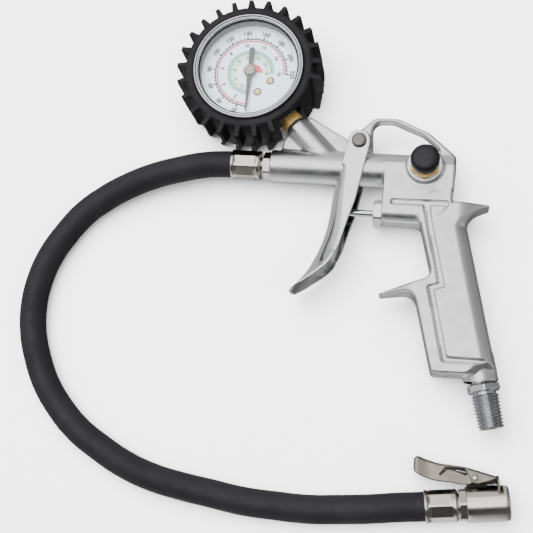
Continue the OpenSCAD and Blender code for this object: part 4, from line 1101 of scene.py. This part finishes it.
def make_hub():
    profile = [(0, 12.9), (0.5, 12.9), (0.6, 13.25), (1.6, 13.32), (2.3, 13.15), (2.62, 12.7),
               (2.62, 11.75), (2, 11.65), (0, 11.65)]
    cap = lathe("pointer_hub_cap", profile, GAUGE_FRAME, 48)
    finish_piece(cap, material=HUB, body="pointer", slot="brass")


def make_gasket_and_shadow_ring():
    # The second ring is painted shadow: black rubber in the bezel's rolled edge
    for name, radius, z, thick in (("lens_gasket", 26.35, 16.2, 0.4),
                                   ("bezel_shadow_ring", 28.05, 17.35, 0.28)):
        ring = [(radius + thick * math.cos(a), z + thick * math.sin(a)) for a in np.arange(8) * math.pi / 4]
        finish_piece(lathe(name, ring, GAUGE_FRAME, 144, sharp=60), material=SEAL, body="gun", slot="seal")


make_dial_print()
make_hub()
make_gasket_and_shadow_ring()

# ---- Stage and light ----


def make_stage():
    mesh = bpy.data.meshes.new("table")
    mesh.from_pydata([(-3, -3, 0), (3, -3, 0), (3, 3, 0), (-3, 3, 0)], [], [(0, 1, 2, 3)])
    table = new_object("table", mesh)
    paper = Nodes("white_paper", Roughness=0.9)
    paper.colour((3, 2), (0.9, 0.9, 0.9), (0.92, 0.92, 0.92))
    mesh.materials.append(paper.material)
    table.visible_glossy = False


def area_light(name, at, aim, size, power):
    """A softbox that lights surfaces without being seen in the polished metal."""
    data = bpy.data.lights.new(name, "AREA")
    data.shape = "SQUARE"
    data.size, data.energy = size, power
    light = new_object(name, data)
    light.location = at
    light.rotation_euler = (Vector(aim) - Vector(at)).to_track_quat("-Z", "Y").to_euler()
    light.visible_glossy = False


# Brightness of the studio by direction: round the X axis in degrees from overhead towards +Y, and
# towards -X and +X by the direction's own x
ROOM_ROUND = [
    (-180, 0.1), (-170, 0.14), (-158, 0.8), (-125, 1.3), (-100, 0.9), (-82, 0.55), (-70, 0.12),
    (-52, 0.05), (-32, 0.08), (-22, 0.5), (-16, 2.4), (0, 2.4), (25, 2), (40, 1.8), (50, 0.8), (90, 0.7),
    (125, 0.6), (160, 0.6), (170, 0.14), (180, 0.1)]
ROOM_SIDES = [(-1, 0.45), (-0.6, 0.6), (0.2, 0.14), (0.75, 0.08), (0.93, 0.25), (1, 0.6)]
# How far the sides take over, by 0.5 + x / 2
SIDES_SHARE = [(0.17, 0.7), (0.26, 0), (0.57, 0), (0.63, 0.85), (0.95, 0.85)]


def make_light():
    world = bpy.data.worlds.new("studio")
    bpy.context.scene.world = world
    world.use_nodes = True
    tree = world.node_tree

    def math_node(kind, a, b):
        made = tree.nodes.new("ShaderNodeMath")
        made.operation = kind
        for socket, value in zip(made.inputs, (a, b)):
            if isinstance(value, float):
                socket.default_value = value
            else:
                tree.links.new(value, socket)
        return made.outputs["Value"]

    def greys(value, stops):
        """Greys between stops of [position, grey]. The greys may go above one."""
        made = tree.nodes.new("ShaderNodeValToRGB")
        elements = made.color_ramp.elements
        while len(elements) < len(stops):
            elements.new(0.5)
        for element, (at, grey) in zip(elements, stops):
            element.position, element.color = at, (grey, grey, grey, 1)
        tree.links.new(value, made.inputs["Fac"])
        return made.outputs["Color"]

    split = tree.nodes.new("ShaderNodeSeparateXYZ")
    tree.links.new(tree.nodes.new("ShaderNodeTexCoord").outputs["Generated"], split.inputs["Vector"])
    x, y, z = (split.outputs[axis] for axis in "XYZ")
    turn = math_node("MULTIPLY", math_node("ARCTAN2", y, z), 1 / (2 * math.pi))
    round_x = greys(math_node("ADD", turn, 0.5), [(0.5 + angle / 360, grey) for angle, grey in ROOM_ROUND])
    sideways = math_node("ADD", math_node("MULTIPLY", x, 0.5), 0.5)
    sides = greys(sideways, [(0.5 + at / 2, grey) for at, grey in ROOM_SIDES])
    to_side = greys(sideways, SIDES_SHARE)
    mix = tree.nodes.new("ShaderNodeMixRGB")
    for socket, value in zip(mix.inputs, (to_side, round_x, sides)):
        tree.links.new(value, socket)
    tree.links.new(mix.outputs["Color"], tree.nodes["Background"].inputs["Color"])
    area_light("key", (-0.3, 0.3, 1.2), (0, 0, 0), 1.4, 90)
    area_light("fill", (0.7, -0.4, 1.0), (0, 0, 0), 1.0, 14)


make_stage()
make_light()
